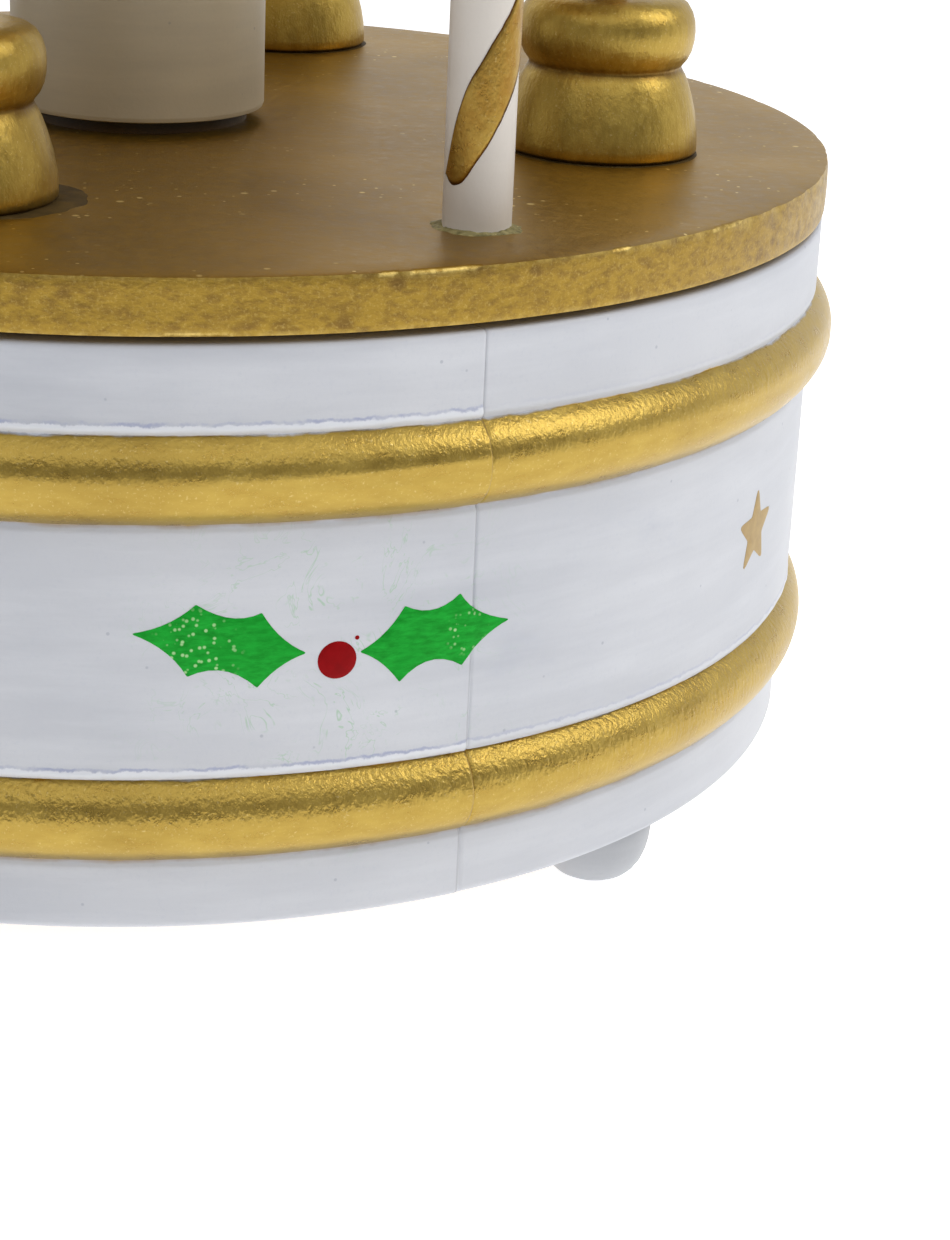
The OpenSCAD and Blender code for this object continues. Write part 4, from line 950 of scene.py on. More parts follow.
pedestalSize = {"steps": 128, "high": 12.6, "bore": 1.63}
rodSize = {"r": 1.6, "steps": 48}
pedestalCurve = [(7.55, 0.0), (7.87, 0.35), (7.87, 1.1), (7.78, 2.1), (7.54, 3.4), (7.20, 4.6), (6.82, 5.7),
                 (6.55, 6.3), (6.30, 6.7), (6.18, 6.95), (6.30, 7.2), (6.66, 7.65), (6.96, 8.3), (7.12, 9.1),
                 (7.15, 9.8), (7.07, 10.6), (6.84, 11.3), (6.42, 11.95), (5.90, 12.3), (5.2, 12.47),
                 (4.0, 12.52), (2.6, 12.55)]
for i, spot in enumerate(pedestalSpots):
    s = pedestalSize
    profile = [(s["bore"], 0)] + pedestalCurve + [(s["bore"], s["high"] - 0.05)]
    profile = [(r, z + discTop) for r, z in profile]
    body = lathe("pedestal_turned_%d" % (i + 1), profile, giltPedestal, s["steps"], (spot.x, spot.y),
                 uneven(0.05, 0.04, 2, 3, 5, i), ring=True, sharp=60)
    settle(body, "carousel", "gilt", "pedestal_%d" % (i + 1))
    low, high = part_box("horse_rod_%d" % (i + 1))
    ball = (high.x - low.x) / 2 / mm
    foot, tip = low.z / mm, high.z / mm - ball
    profile = [(0, foot)] + [(rodSize["r"], z) for z in evenly(foot, tip - 2, 14)]
    profile += arcPoints(0, tip, ball, -48, 90, 18)
    rod = lathe("rod_gilt_%d" % (i + 1), profile, giltRod, rodSize["steps"], (spot.x, spot.y),
                uneven(0.015, 0.012, 1, 3, 1, i), sharp=50)
    settle(rod, "carousel", "gilt", "horse_rod_%d" % (i + 1))
print("pedestals turned")


def gluePool(name, x, y, wide, long, turn, high, material, seed, rows, steps, ragged):
    # a flat dried pool on the turntable: its rim is ragged, its top sags towards the edge
    points = []
    for t in evenly(0, 1, rows):
        for a in around(steps):
            edge = 1 + ragged * wobbleRound(a, 1.6, 0, seed) + 0.36 * ragged * wobbleRound(a, 6, 0, seed + 5)
            px, py = wide * t * edge * math.cos(a), long * t * edge * math.sin(a)
            lumps = 0.5 * wobble(px, py, seed, 1.1) + 0.35 * wobble(px, py, seed, 0.4)
            h = high * (1 - t ** 3) * max(0.75 + lumps, 0.1) if t < 1 else 0
            points.append(Vector((x + (px * math.cos(turn) - py * math.sin(turn)) * mm,
                                  y + (px * math.sin(turn) + py * math.cos(turn)) * mm, (discTop + h) * mm)))
    points += [p - Vector((0, 0, 0.1 * mm)) for p in points[-steps:]]
    faces = [tuple(range(steps))] + [(a, d, c, b) for a, b, c, d in tubeFaces(rows + 2, steps)]
    faces.append(tuple(reversed(range((rows + 1) * steps, (rows + 2) * steps))))
    return meshPiece(name, points, faces, material, 60)


# how wide, how long, turned how far and how high each kind of pool is
glueSize = {"pedestal": (7.98, 7.96, 0.3, 0.10), "puddle": (7.9, 7.7, 0.5, 0.22),
            "blob": (1.5, 0.9, 0.2, 0.45), "pole": (3.15, 3.05, 1.1, 0.55)}
left, back = pedestalSpots[3], pedestalSpots[1]
pools = []
for i, spot in enumerate(pedestalSpots):
    # every pedestal stands in the glue that squeezed out from under it
    label = "pedestal_glue_%d" % (i + 1)
    pools.append((label, spot.x, spot.y, *glueSize["pedestal"], glue, 3.1 * i, 4, 96, 0.02))
x, y = left.x + 1.7 * mm, left.y - 0.2 * mm
pools.append(("glue_puddle", x, y, *glueSize["puddle"], glue, 1.7, 12, 160, 0.10))
x, y = back.x - 4.6 * mm, back.y - 8.6 * mm
pools.append(("glue_blob", x, y, *glueSize["blob"], glue, 4.4, 10, 64, 0.28))
for i, spot in enumerate(poleSpots):
    # crumbly gilt glue in a ragged collar round each pole's foot
    label = "pole_glue_%d" % (i + 1)
    wide, long, turn, high = glueSize["pole"]
    pools.append((label, spot.x, spot.y, wide, long, turn * i, high, crumbs, 2.3 * i + 1, 16, 120, 0.16))
for pool in pools:
    settle(gluePool(*pool), "carousel", "gilt")
print("glue dried")

rimSize = {"r": 56.7, "beadHigh": 4.4, "beadOut": 1.225, "wall": 50.0, "groove": 0.14, "margin": 0.6,
           "steps": 320, "leafScale": 0.56, "leafDrop": 0.9, "berryScale": 0.7, "berryDrop": 0.3,
           "starScale": 0.55, "coat": 0.08, "starCoat": 0.06}
rimMiddle = (rimBottom + rimTop) / 2
half = rimSize["beadHigh"] / 2
rimBeads = [rimBottom + rimSize["margin"] + half, rimTop - rimSize["margin"] - half]
rimPaint = makeDrumPaint("rimPaint", bandsOf(rimBeads, rimSize["beadHigh"]))


def rimProfile():
    r, wall, g = rimSize["r"], rimSize["wall"], rimSize["groove"]
    points = [(wall, rimBottom), (r - 0.2, rimBottom), (r, rimBottom + 0.15)]
    for bead in rimBeads:
        low, high = bead - half, bead + half
        if bead == rimBeads[1]:
            points += [(r, rimBeads[0] + half + 0.7), (r, rimMiddle), (r, low - 0.7)]
        points += [(r, low - 0.35), (r - g, low - 0.2), (r - g, low - 0.05)]
        points += beadArc(r, bead, rimSize["beadOut"], rimSize["beadHigh"])
        points += [(r - g, high + 0.05), (r - g, high + 0.2), (r, high + 0.35)]
    return points + [(r, rimTop - 0.15), (r - 0.2, rimTop), (wall, rimTop)]


def shrunk(outline, scale, drop=0.0):
    return [(x * scale, (y - drop) * scale) for x, y in outline]


rim = lathe("canopy_ring", rimProfile(), rimPaint, rimSize["steps"], ring=True, sharp=50,
            change=uneven(0.03, 0.02, 3, 17, 55, 2))
settle(rim, "carousel", "white_paint", "canopy_rim")
s = rimSize
rimBerry = [(x * s["berryScale"], y * s["berryScale"] - s["berryDrop"]) for x, y in berry]
rimCoats = [("rim_left_leaf", shrunk(leftLeaf, s["leafScale"], s["leafDrop"]), s["coat"], leafLeft, 0),
            ("rim_right_leaf", shrunk(rightLeaf, s["leafScale"], s["leafDrop"]), s["coat"], leafRight, 0),
            ("rim_berry", rimBerry, s["coat"], berryRed, 0),
            ("rim_star", shrunk(star, s["starScale"]), s["starCoat"], starGold, math.radians(45))]
for i, (turn, height) in enumerate(holly):
    for label, outline, thick, material, aside in rimCoats:
        piece = paintPatch("%s_%d" % (label, i + 1), outline, turn + aside, rimMiddle, rimSize["r"], thick,
                           material, grid=0.6)
        settle(piece, "carousel", "white_paint")
print("canopy rim turned")

# straight is the share of the roof's rise that follows a plain cone; the rest is its hollow sweep
roofSize = {"foot": 55.5, "top": 8.0, "skirt": 1.0, "wall": 4.0, "straight": 0.55, "steps": 288}
roofRise = roofTop - roofBottom - roofSize["skirt"]


def roofLine(t):
    straight = roofSize["straight"]
    r = roofSize["foot"] + (roofSize["top"] - roofSize["foot"]) * t
    return r, roofBottom + roofSize["skirt"] + roofRise * t * (straight + (1 - straight) * t * t)


def roofWaver(a, r, z):
    sunk = 0.04 + 0.04 * wobbleRound(a, 3, r / 20, 6) if z > roofBottom + 1.5 else 0
    return r, z - sunk


profile = [(0, roofTop - roofSize["wall"])]
for r, z in (roofLine(t) for t in evenly(1, 0, 12)):
    if z - roofSize["wall"] > roofBottom + 0.4:
        profile.append((max(r - 2, 0.1), z - roofSize["wall"]))
profile += [(roofSize["foot"] - 4.8, roofBottom), (roofSize["foot"] - 0.2, roofBottom),
            (roofSize["foot"], roofBottom + 0.2)]
profile += [roofLine(t) for t in evenly(0, 1, 40)] + [(7.6, roofTop), (0, roofTop)]
roof = lathe("canopy_cone", profile, makeWhite("roofPaint"), roofSize["steps"], sharp=40, change=roofWaver)
settle(roof, "carousel", "white_paint", "canopy_roof")

stripeSizes = {"Foot": roofSize["foot"] * mm, "Top": roofSize["top"] * mm,
               "Low": (roofBottom + roofSize["skirt"]) * mm, "Rise": roofRise * mm, "Width": 0.0052,
               "Narrow": 0.22, "Lift": 0.00005, "Count": 12}
stripeLay = {"start": 0.035, "long": 0.93, "thick": 0.25}


def stripeRule():
    # one gilt stripe laid up the roof's curve, repeated round the axis
    g = Rule("roofStripes", stripeSizes, gilt)
    long, straight = stripeLay["long"], roofSize["straight"]
    strip, x, y = g.strip(61, 9)
    t = g.timesPlus(x, long, 0.5 * long + stripeLay["start"])
    radius = g.timesPlus(t, g.minus(g.size("Top"), g.size("Foot")), g.size("Foot"))
    sweepUp = g.times(t, g.timesPlus(g.times(t, t), 1 - straight, straight))
    height = g.timesPlus(sweepUp, g.size("Rise"), g.size("Low"))
    height = g.plus(height, g.times(g.dome(g.calc("ABSOLUTE", y)), g.size("Lift")))
    slim = g.timesPlus(t, g.minus(g.size("Narrow"), 1.0), 1.0)
    angle = g.calc("DIVIDE", g.times(g.times(y, g.size("Width")), slim), radius)
    stripe = g.wrap(strip, angle, radius, height)
    spots = g.put("GeometryNodeMeshLine", {"Count": g.size("Count"), "Offset": (0, 0, 0)}).outputs[0]
    index = g.put("GeometryNodeInputIndex").outputs[0]
    spin = g.point(0.0, 0.0, g.calc("DIVIDE", g.times(index, 2 * math.pi), g.size("Count")))
    turn = g.put("FunctionNodeEulerToRotation", {0: spin}).outputs[0]
    copies = g.put("GeometryNodeInstanceOnPoints", {"Points": spots, "Instance": stripe, "Rotation": turn})
    return g.close(copies.outputs[0])


stripes = stripeRule().run("roof_stripes")
thicken(stripes, stripeLay["thick"])
settle(stripes, "carousel", "gilt")

# the knob's foot and neck are given from its underside, its tip from the middle of the ball
knobSize = {"neck": 3.5, "ball": 5.5, "steps": 96}
knobFoot = [(0, 0), (7.7, 0), (7.95, 0.2), (8.0, 0.8), (7.85, 1.35), (7.3, 1.75), (5.2, 2.0), (3.4, 2.35),
            (2.4, 2.9), (2.05, knobSize["neck"])]
knobR = knobSize["ball"]
knobMiddle = knobBottom + knobSize["neck"] + knobR * 0.93
profile = [(r, knobBottom + z) for r, z in knobFoot] + [(2.15, knobMiddle - 5.1)]
profile += arcPoints(0, knobMiddle, knobR, -64, 66, 36)
profile += [(r, knobMiddle + knobR * up) for r, up in ((1.85, 0.98), (1.62, 1.1), (1.5, 1.22), (1.1, 1.34))]
profile += [(0.6, knobTop - 0.3), (0.25, knobTop - 0.05), (0, knobTop)]
knob = lathe("roof_knob", profile, gilt, knobSize["steps"], sharp=50,
             change=lambda a, r, z: (r * (1 - 0.004 + 0.004 * wobbleRound(a, 1, z / 4)), z))
settle(knob, "carousel", "gilt", "finial")
print("canopy dressed")

# every number of the horse is in mm, with the middle of its body at the origin and its head towards +X
horseSize = {"voxel": 0.26, "soften": 7, "hoofLow": 11.8, "saddleFrom": -3.3, "saddleTo": 2.9,
             "saddleDrop": 52, "blanketFrom": -4.9, "blanketTo": 4.3, "blanketDrop": 84, "strap": 0.75,
             "locks": 9}
torso = [(8.0, 0, 1.9, 0.6, 0.9), (7.2, 0, 1.7, 2.4, 2.9), (5.2, 0, 1.0, 3.5, 4.2), (2.5, 0, 0.4, 3.75, 4.2),
         (-0.5, 0, 0.2, 3.8, 3.9), (-3.2, 0, 0.4, 3.85, 3.95), (-5.8, 0, 0.9, 3.9, 4.2),
         (-7.8, 0, 1.3, 3.2, 3.6), (-9.0, 0, 1.6, 1.9, 2.3), (-9.5, 0, 1.7, 0.6, 0.8)]
neck = [(3.6, 0, 1.6, 2.4, 3.4), (5.8, 0, 3.6, 2.3, 3.5), (7.9, 0, 6.2, 1.9, 2.9), (9.6, 0, 8.9, 1.55, 2.25),
        (10.8, 0, 11.0, 1.3, 1.75), (11.1, 0, 11.8, 0.7, 1.0)]
head = [(10.2, 0, 11.6, 0.8, 1.1), (11.4, 0, 11.0, 1.45, 1.95), (12.9, 0, 10.0, 1.35, 1.65),
        (14.4, 0, 8.8, 1.05, 1.2), (15.7, 0, 7.8, 1.02, 1.1), (16.5, 0, 7.1, 0.85, 0.9),
        (16.9, 0, 6.8, 0.35, 0.4)]
jaw = [(11.3, 0, 10.4, 0.9, 1.0), (12.2, 0, 9.5, 1.45, 1.35), (13.4, 0, 8.7, 0.95, 0.8),
       (15.3, 0, 7.0, 0.7, 0.55), (16.0, 0, 6.6, 0.3, 0.3)]
# each leg: shoulder or hip, elbow or stifle, forearm or thigh, knee or hock, shin, fetlock, top of the hoof
legs = [[(4.6, -1.9, 0.6, 2.1, 2.9), (5.3, -2.3, -2.2, 1.7, 2.1), (7.2, -2.4, -4.4, 1.2, 1.45),
         (8.5, -2.4, -6.0, 0.98, 1.08), (7.4, -2.4, -7.9, 0.72, 0.76), (6.6, -2.4, -9.3, 0.86, 0.9),
         (6.2, -2.4, -10.4, 0.75, 0.8)],
        [(4.6, 1.9, 0.6, 2.1, 2.9), (5.2, 2.3, -2.2, 1.7, 2.1), (6.3, 2.4, -4.7, 1.2, 1.4),
         (6.8, 2.4, -6.6, 0.98, 1.08), (5.2, 2.4, -8.1, 0.72, 0.76), (4.0, 2.4, -9.1, 0.86, 0.9),
         (3.4, 2.4, -10.2, 0.75, 0.8)],
        [(-5.6, -1.8, 1.2, 2.7, 3.4), (-5.0, -2.5, -1.8, 2.1, 2.7), (-6.0, -2.5, -4.5, 1.4, 1.7),
         (-7.5, -2.4, -6.4, 0.98, 1.2), (-9.3, -2.4, -8.0, 0.74, 0.8), (-10.6, -2.4, -9.2, 0.88, 0.92),
         (-11.2, -2.4, -10.2, 0.75, 0.8)],
        [(-5.6, 1.8, 1.2, 2.7, 3.4), (-4.4, 2.5, -1.8, 2.1, 2.7), (-4.6, 2.5, -4.7, 1.4, 1.7),
         (-5.3, 2.4, -6.9, 0.98, 1.2), (-6.9, 2.4, -8.8, 0.74, 0.8), (-8.0, 2.4, -10.0, 0.88, 0.92),
         (-8.4, 2.4, -10.8, 0.7, 0.75)]]


def along(stations, t):
    # the smooth line through the stations, t from 0 to 1; every station is x, y, z and two half widths
    count = len(stations) - 1
    i = min(int(t * count), count - 1)
    u = t * count - i
    p = [stations[max(0, min(count, k))] for k in (i - 1, i, i + 1, i + 2)]
    return [0.5 * (2 * b + (c - a) * u + (2 * a - 5 * b + 4 * c - d) * u * u
                   + (3 * b - a - 3 * c + d) * u ** 3) for a, b, c, d in zip(*p)]


def sweep(stations, rings=24, sides=20, groove=None):
    # a closed skin along the stations: the first half width lies across Y, the second square to the line
    points = []
    for t in evenly(0, 1, rings):
        now = along(stations, t)
        before, after = along(stations, max(0, t - 0.01)), along(stations, min(1, t + 0.01))
        way = Vector([b - a for a, b in zip(before[:3], after[:3])]).normalized()
        side = (Vector((0, 1, 0)) - way * way.y).normalized()
        other = way.cross(side)
        for a in around(sides):
            r = groove(t, a) if groove else 1
            across = side * math.cos(a) * now[3] * r
            points.append(Vector(now[:3]) + across + other * math.sin(a) * now[4] * r)
    return points, tubeFaces(rings + 1, sides) + tubeEnds(rings + 1, sides)


def joined(parts):
    points, faces = [], []
    for some, more in parts:
        base = len(points)
        points += some
        faces += [tuple(i + base for i in f) for f in more]
    return points, faces


def outward(piece):
    # recalculates the normals so that every closed shell faces out
    work = bmesh.new()
    work.from_mesh(piece.data)
    bmesh.ops.recalc_face_normals(work, faces=work.faces)
    work.to_mesh(piece.data)
    work.free()
    return piece


def carveHorse():
    # the limbs are melted into one skin and softened where they meet
    limbs = [sweep(line, 30, 24) for line in [torso, neck, head, jaw] + legs]
    for s in (-1, 1):
        limbs.append(sweep([(10.3, s * 0.75, 12.0, 0.42, 0.6), (10.25, s * 1.0, 13.0, 0.36, 0.5),
                            (10.4, s * 1.15, 14.0, 0.12, 0.14)], 10, 12))
    piece = outward(meshPiece("horseForm", *joined(limbs), None, 180))
    melt = piece.modifiers.new("Melt", "REMESH")
    melt.mode = "VOXEL"
    melt.voxel_size = horseSize["voxel"]
    soften = piece.modifiers.new("Soften", "SMOOTH")
    soften.factor = 0.5
    soften.iterations = horseSize["soften"]
    applyModifiers(piece)
    smoothShade(piece.data)
    return piece


form = carveHorse()
formPoints = [v.co.copy() for v in form.data.vertices]
skinTree = BVHTree.FromPolygons(formPoints, [tuple(f.vertices) for f in form.data.polygons])
shades = {"dusk": lambda p: max(smooth((-p.z - 6.0) / 3.0), smooth((p.x - 14.6) / 2.2) * 0.8),
          "dapple": lambda p: smooth((2.0 - p.x) / 7) * smooth((p.z + 3) / 3)}
for name, rule in shades.items():
    layer = form.data.attributes.new(name, "FLOAT", "POINT")
    layer.data.foreach_set("value", [rule(p) for p in formPoints])


def surfaceAt(start, way, lift=0.0):
    hit = skinTree.ray_cast(start, way)[0]
    return (hit if hit else start + way * 0.5) + way * lift


def onSide(s, x, z, lift=0.08, up=0.0):
    # the horse's skin at (x, z), seen from its left or right
    return surfaceAt(Vector((x, 0, z)), Vector((0, s, up)), lift)


def patchOn(xs, angles, lift):
    # a closed pad on the horse's back between two places along X, wrapped down both sides, and its rim
    tops, backs = [], []
    for x in xs:
        for a in angles:
            start, way = Vector((x, 0, 0.3)), Vector((0, math.sin(a), math.cos(a)))
            tops.append(surfaceAt(start, way, lift(x, a)))
            backs.append(surfaceAt(start, way, -0.25))
    wide, long = len(angles), len(xs)
    faces = []
    for i in range(long - 1):
        for k in range(wide - 1):
            q = (i * wide + k, (i + 1) * wide + k, (i + 1) * wide + k + 1, i * wide + k + 1)
            faces += [q, tuple(j + wide * long for j in reversed(q))]
    rim = [(i, 0) for i in range(long)] + [(long - 1, k) for k in range(1, wide)]
    rim += [(i, wide - 1) for i in range(long - 2, -1, -1)] + [(0, k) for k in range(wide - 2, 0, -1)]
    ids = [i * wide + k for i, k in rim]
    faces += [(b, a, a + wide * long, b + wide * long) for a, b in zip(ids, ids[1:] + ids[:1])]
    return (tops + backs, faces), [tops[i] for i in ids]


def cordAlong(points, r, closed=False):
    # a round cord through the points
    skin, sides = [], 8
    count = len(points)
    for i, p in enumerate(points):
        before = points[i - 1] if closed or i > 0 else points[i]
        after = points[(i + 1) % count] if closed or i < count - 1 else points[i]
        way = (after - before).normalized()
        side = way.orthogonal().normalized() if i == 0 else (side - way * way.dot(side)).normalized()
        other = way.cross(side)
        skin += [p + (side * math.cos(a) + other * math.sin(a)) * r for a in around(sides)]
    return skin, tubeFaces(count, sides, closed) + ([] if closed else tubeEnds(count, sides))


def band(place, axis, width, thick, steps=48):
    # a flat strap round a limb, body or head, at the place and square to the axis
    way = Vector(axis).normalized()
    side = (Vector((0, 1, 0)) - way * way.y).normalized()
    other = way.cross(side)
    points = []
    for a in evenly(-math.pi, math.pi, steps)[:-1]:
        ray = side * math.cos(a) + other * math.sin(a)
        for off, lift in ((-0.5, -0.15), (-0.5, thick), (0.5, thick), (0.5, -0.15)):
            points.append(surfaceAt(Vector(place) + way * width * off, ray, lift))
    return points, tubeFaces(steps, 4, True)


def disk(place, s, r, high):
    # a small domed button that faces along Y
    rings, sides = 6, 16
    points = []
    for a in evenly(0, math.pi / 2, rings - 1):
        out, lift = r * math.cos(a), s * (high * math.sin(a) - 0.05)
        points += [Vector((place.x + out * math.cos(b), place.y + lift, place.z + out * math.sin(b)))
                   for b in around(sides)]
    return points, tubeFaces(rings, sides) + tubeEnds(rings, sides)


def hairLine(t, a):
    return 1 + 0.16 * math.sin(6 * a + 9 * t) + 0.07 * math.sin(13 * a - 5 * t)


def manePieces():
    forelock = [(10.4, 0, 12.6, 0.3, 0.3), (11.4, -0.1, 12.8, 0.55, 0.55), (12.4, -0.1, 12.1, 0.45, 0.4),
                (13.1, -0.1, 11.1, 0.12, 0.12)]
    crest = [(10.0, 0, 12.4), (8.6, 0, 10.6), (6.9, 0, 8.6), (5.0, 0, 6.6), (3.6, 0, 5.2)]
    locks = [sweep(forelock, 16, 16, hairLine)]
    for k, t in enumerate(evenly(0, 1, horseSize["locks"] - 1)):
        x, y, z = along(crest, t)
        fall = 2.0 + 1.1 * math.sin(math.pi * (0.25 + 0.7 * t))
        sway = 0.35 * math.sin(2.4 * k)
        lock = [(x, 0.5, z - 0.5, 0.5, 0.7), (x - 0.25, -0.25, z + 0.35, 0.7, 0.85),
                (x - 0.55 + sway, -1.55 - 0.55 * t, z - fall * 0.42, 0.52, 0.8),
                (x - 0.1 + sway, -2.05 - 0.75 * t, z - fall * 0.85, 0.36, 0.55),
                (x - 0.8 + sway, -2.15 - 0.8 * t, z - fall * 1.15, 0.10, 0.12)]
        locks.append(sweep(lock, 20, 16, hairLine))
    return joined(locks)


def tailPieces():
    locks = []
    for dx, dy, drop in ((0, 0, 0), (0.7, -0.65, 1.0), (0.6, 0.65, 0.6), (-0.5, 0.2, 1.6)):
        lock = [(-8.6, 0, 2.8, 0.6, 0.6), (-10.4, dy * 0.3, 3.3, 0.75, 0.8),
                (-12.0 - dx * 0.3, dy * 0.7, 2.1, 0.95, 1.0), (-12.9 - dx * 0.2, dy, -0.4, 0.95, 1.0),
                (-13.0 + dx * 0.3, dy * 1.1, -3.0, 0.75, 0.85),
                (-12.6 + dx, dy * 1.2, -5.2 + drop, 0.35, 0.45),
                (-13.2 + dx, dy * 1.3, -6.6 + drop, 0.08, 0.08)]
        locks.append(sweep(lock, 40, 20, hairLine))
    return joined(locks)


def hoofPieces():
    # how far along the hoof each ring lies, and its two half widths
    rings = [(-0.15, 0.5, 0.5), (0, 0.92, 0.98), (0.5, 1.08, 1.16), (1.1, 1.26, 1.36), (1.22, 1.2, 1.3),
             (1.25, 0.6, 0.6)]
    hooves = []
    for leg in legs:
        a, b = Vector(leg[-2][:3]), Vector(leg[-1][:3])
        way = (b - a).normalized()
        heel = b + way * 0.05
        hooves.append(sweep([(*(heel + way * place), wide, deep) for place, wide, deep in rings], 24, 28))
    return joined(hooves)


def saddlePieces():
    low, high, drop = horseSize["saddleFrom"], horseSize["saddleTo"], horseSize["saddleDrop"]
    angles = [math.radians(a) for a in evenly(-drop, drop, 32)]

    def seat(x, a):
        u = (x - low) / (high - low)
        rise = 1.5 * smooth((0.28 - u) / 0.28) + 1.2 * smooth((u - 0.74) / 0.26)
        side = math.cos(min(abs(a) / math.radians(drop), 1) * math.pi / 2)
        edge = smooth(u / 0.08) * smooth((1 - u) / 0.08)
        flap = smooth((math.radians(drop) - abs(a)) / math.radians(16))
        return 0.30 + (0.45 + rise * side) * flap * (0.25 + 0.75 * edge)

    pad, rim = patchOn(evenly(low, high, 28), angles, seat)
    return pad, cordAlong([p + Vector((0, 0, 0.02)) for p in rim], 0.17, True)


def blanketPieces():
    low, high, drop = horseSize["blanketFrom"], horseSize["blanketTo"], math.radians(horseSize["blanketDrop"])
    cloth, rim = patchOn(evenly(low, high, 32), evenly(-drop, drop, 48),
                         lambda x, a: 0.20 + 0.05 * math.sin(x * 2.2) * smooth(abs(a) - 0.6))
    trim = [cordAlong(rim, 0.19, True)]
    for s in (-1, 1):
        way = Vector((0, math.sin(s * drop), math.cos(s * drop)))
        for x in evenly(low + 0.3, high - 0.3, 18):
            top = surfaceAt(Vector((x, 0, 0.3)), way, 0.22)
            tassel = [(top.x, top.y, top.z, 0.13, 0.13), (top.x, top.y + 0.02 * s, top.z - 0.45, 0.2, 0.2),
                      (top.x, top.y, top.z - 0.9, 0.1, 0.1)]
            trim.append(sweep(tassel, 6, 8))
    return cloth, joined(trim)


def harnessPieces():
    w = horseSize["strap"]
    # girth, noseband, crown and breast strap
    straps = [band((0.0, 0, 0.3), (1, 0, 0), w, 0.12), band((14.6, 0, 8.4), (0.79, 0, -0.61), 0.55, 0.12, 32),
              band((11.6, 0, 10.4), (0.5, 0, 0.87), 0.5, 0.12, 32),
              band((6.6, 0, 4.4), (0.55, 0, 0.83), w, 0.14)]
    cheek = ((14.6, 8.4), (13.9, 9.0), (13.2, 9.6), (12.6, 10.1), (12.0, 10.6))
    rein = ((14.7, 8.2, 0.15), (13.4, 8.4, 0.35), (12.0, 8.2, 0.3), (10.6, 7.6, 0.35), (9.0, 6.6, 0.35),
            (7.4, 5.9, 0.3), (5.8, 5.6, 0.3), (4.4, 5.0, 0.3))
    rump = ((-4.6, 2.0), (-5.8, 1.9), (-7.0, 1.8), (-8.0, 1.7))
    buttons = []
    for s in (-1, 1):
        straps.append(cordAlong([onSide(s, x, z) for x, z in cheek], 0.17))
        hands = [Vector((3.3, s * 1.0, 5.3)), Vector((2.6, s * 0.3, 5.6))]
        straps.append(cordAlong([onSide(s, *place) for place in rein] + hands, 0.15))
        straps.append(cordAlong([onSide(s, x, z, 0.08, 0.15) for x, z in rump], 0.2))
        buttons += [disk(onSide(s, x, z, 0.0), s, 0.38, 0.28) for x, z in (cheek[0], cheek[-1], rump[0])]
    return joined(straps), joined(buttons)


def eyePieces():
    # an eye and a nostril on each side
    return joined([disk(onSide(s, x, z, 0.0), s, r, high) for s in (-1, 1)
                   for x, z, r, high in ((12.7, 10.6, 0.36, 0.24), (16.3, 7.4, 0.16, 0.07))])


horsePaint = makeHorsePaint("horsePaint")
hairGilt = makePlain("hairGilt", "#8f6a26", "#b78f3e", 0.38, 0.55, 0.5)
hoofGilt = makePlain("hoofGilt", "#9a742a", "#c39a46", 0.34, 0.8, 0.6)
saddleRed = makePlain("saddleRed", "#7d0d15", "#9a1620", 0.36, 0.0, 0.8)
saddleGreen = makePlain("saddleGreen", "#0a4a1d", "#0f6529", 0.36, 0.0, 0.8)
clothGreen = makePlain("clothGreen", "#0b5a22", "#13762f", 0.5, 0.0, 0.5, depth=0.1, strength=0.5)
clothRed = makePlain("clothRed", "#8b0f1a", "#a61b27", 0.5, 0.0, 0.5, depth=0.1, strength=0.5)
strapRed = makePlain("strapRed", "#7a0c14", "#8f141d", 0.4, 0.0, 0.5)
eyeBlack = makePlain("eyeBlack", "#120d0a", "#20160f", 0.15, 0.0, 0.4)

seatPad, seatPiping = saddlePieces()
cloth, clothTrim = blanketPieces()
straps, buttons = harnessPieces()
# two paints are used in turn, one horse after the other
horseParts = [("mane", manePieces(), hairGilt, 50), ("tail", tailPieces(), hairGilt, 50),
              ("hooves", hoofPieces(), hoofGilt, 40), ("saddle", seatPad, (saddleRed, saddleGreen), 60),
              ("saddle_piping", seatPiping, hoofGilt, 60), ("blanket", cloth, (clothGreen, clothRed), 50),
              ("blanket_fringe", clothTrim, hoofGilt, 60), ("harness", straps, strapRed, 40),
              ("harness_buttons", buttons, hoofGilt, 60), ("eyes", eyePieces(), eyeBlack, 60)]

for i, spot in enumerate(pedestalSpots):
    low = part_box("horse_%d" % (i + 1))[0]
    place = Matrix.Translation((spot.x, spot.y, low.z + horseSize["hoofLow"] * mm)) \
        @ Matrix.Rotation(math.atan2(spot.y, spot.x) + math.pi / 2, 4, "Z") @ Matrix.Scale(mm, 4)
    mesh = form.data.copy()
    mesh.transform(place)
    mesh.materials.clear()
    mesh.materials.append(horsePaint)
    settle(linkPiece("horse_carved_%d" % (i + 1), mesh), "carousel", "painted_horse", "horse_%d" % (i + 1))
    for label, (points, faces), material, sharp in horseParts:
        paint = material[i % 2] if isinstance(material, tuple) else material
        part = meshPiece("horse_%s_%d" % (label, i + 1), [place @ p for p in points], faces, paint, sharp)
        settle(outward(part), "carousel", "painted_horse")
bpy.data.objects.remove(form)
print("horses carved and harnessed")

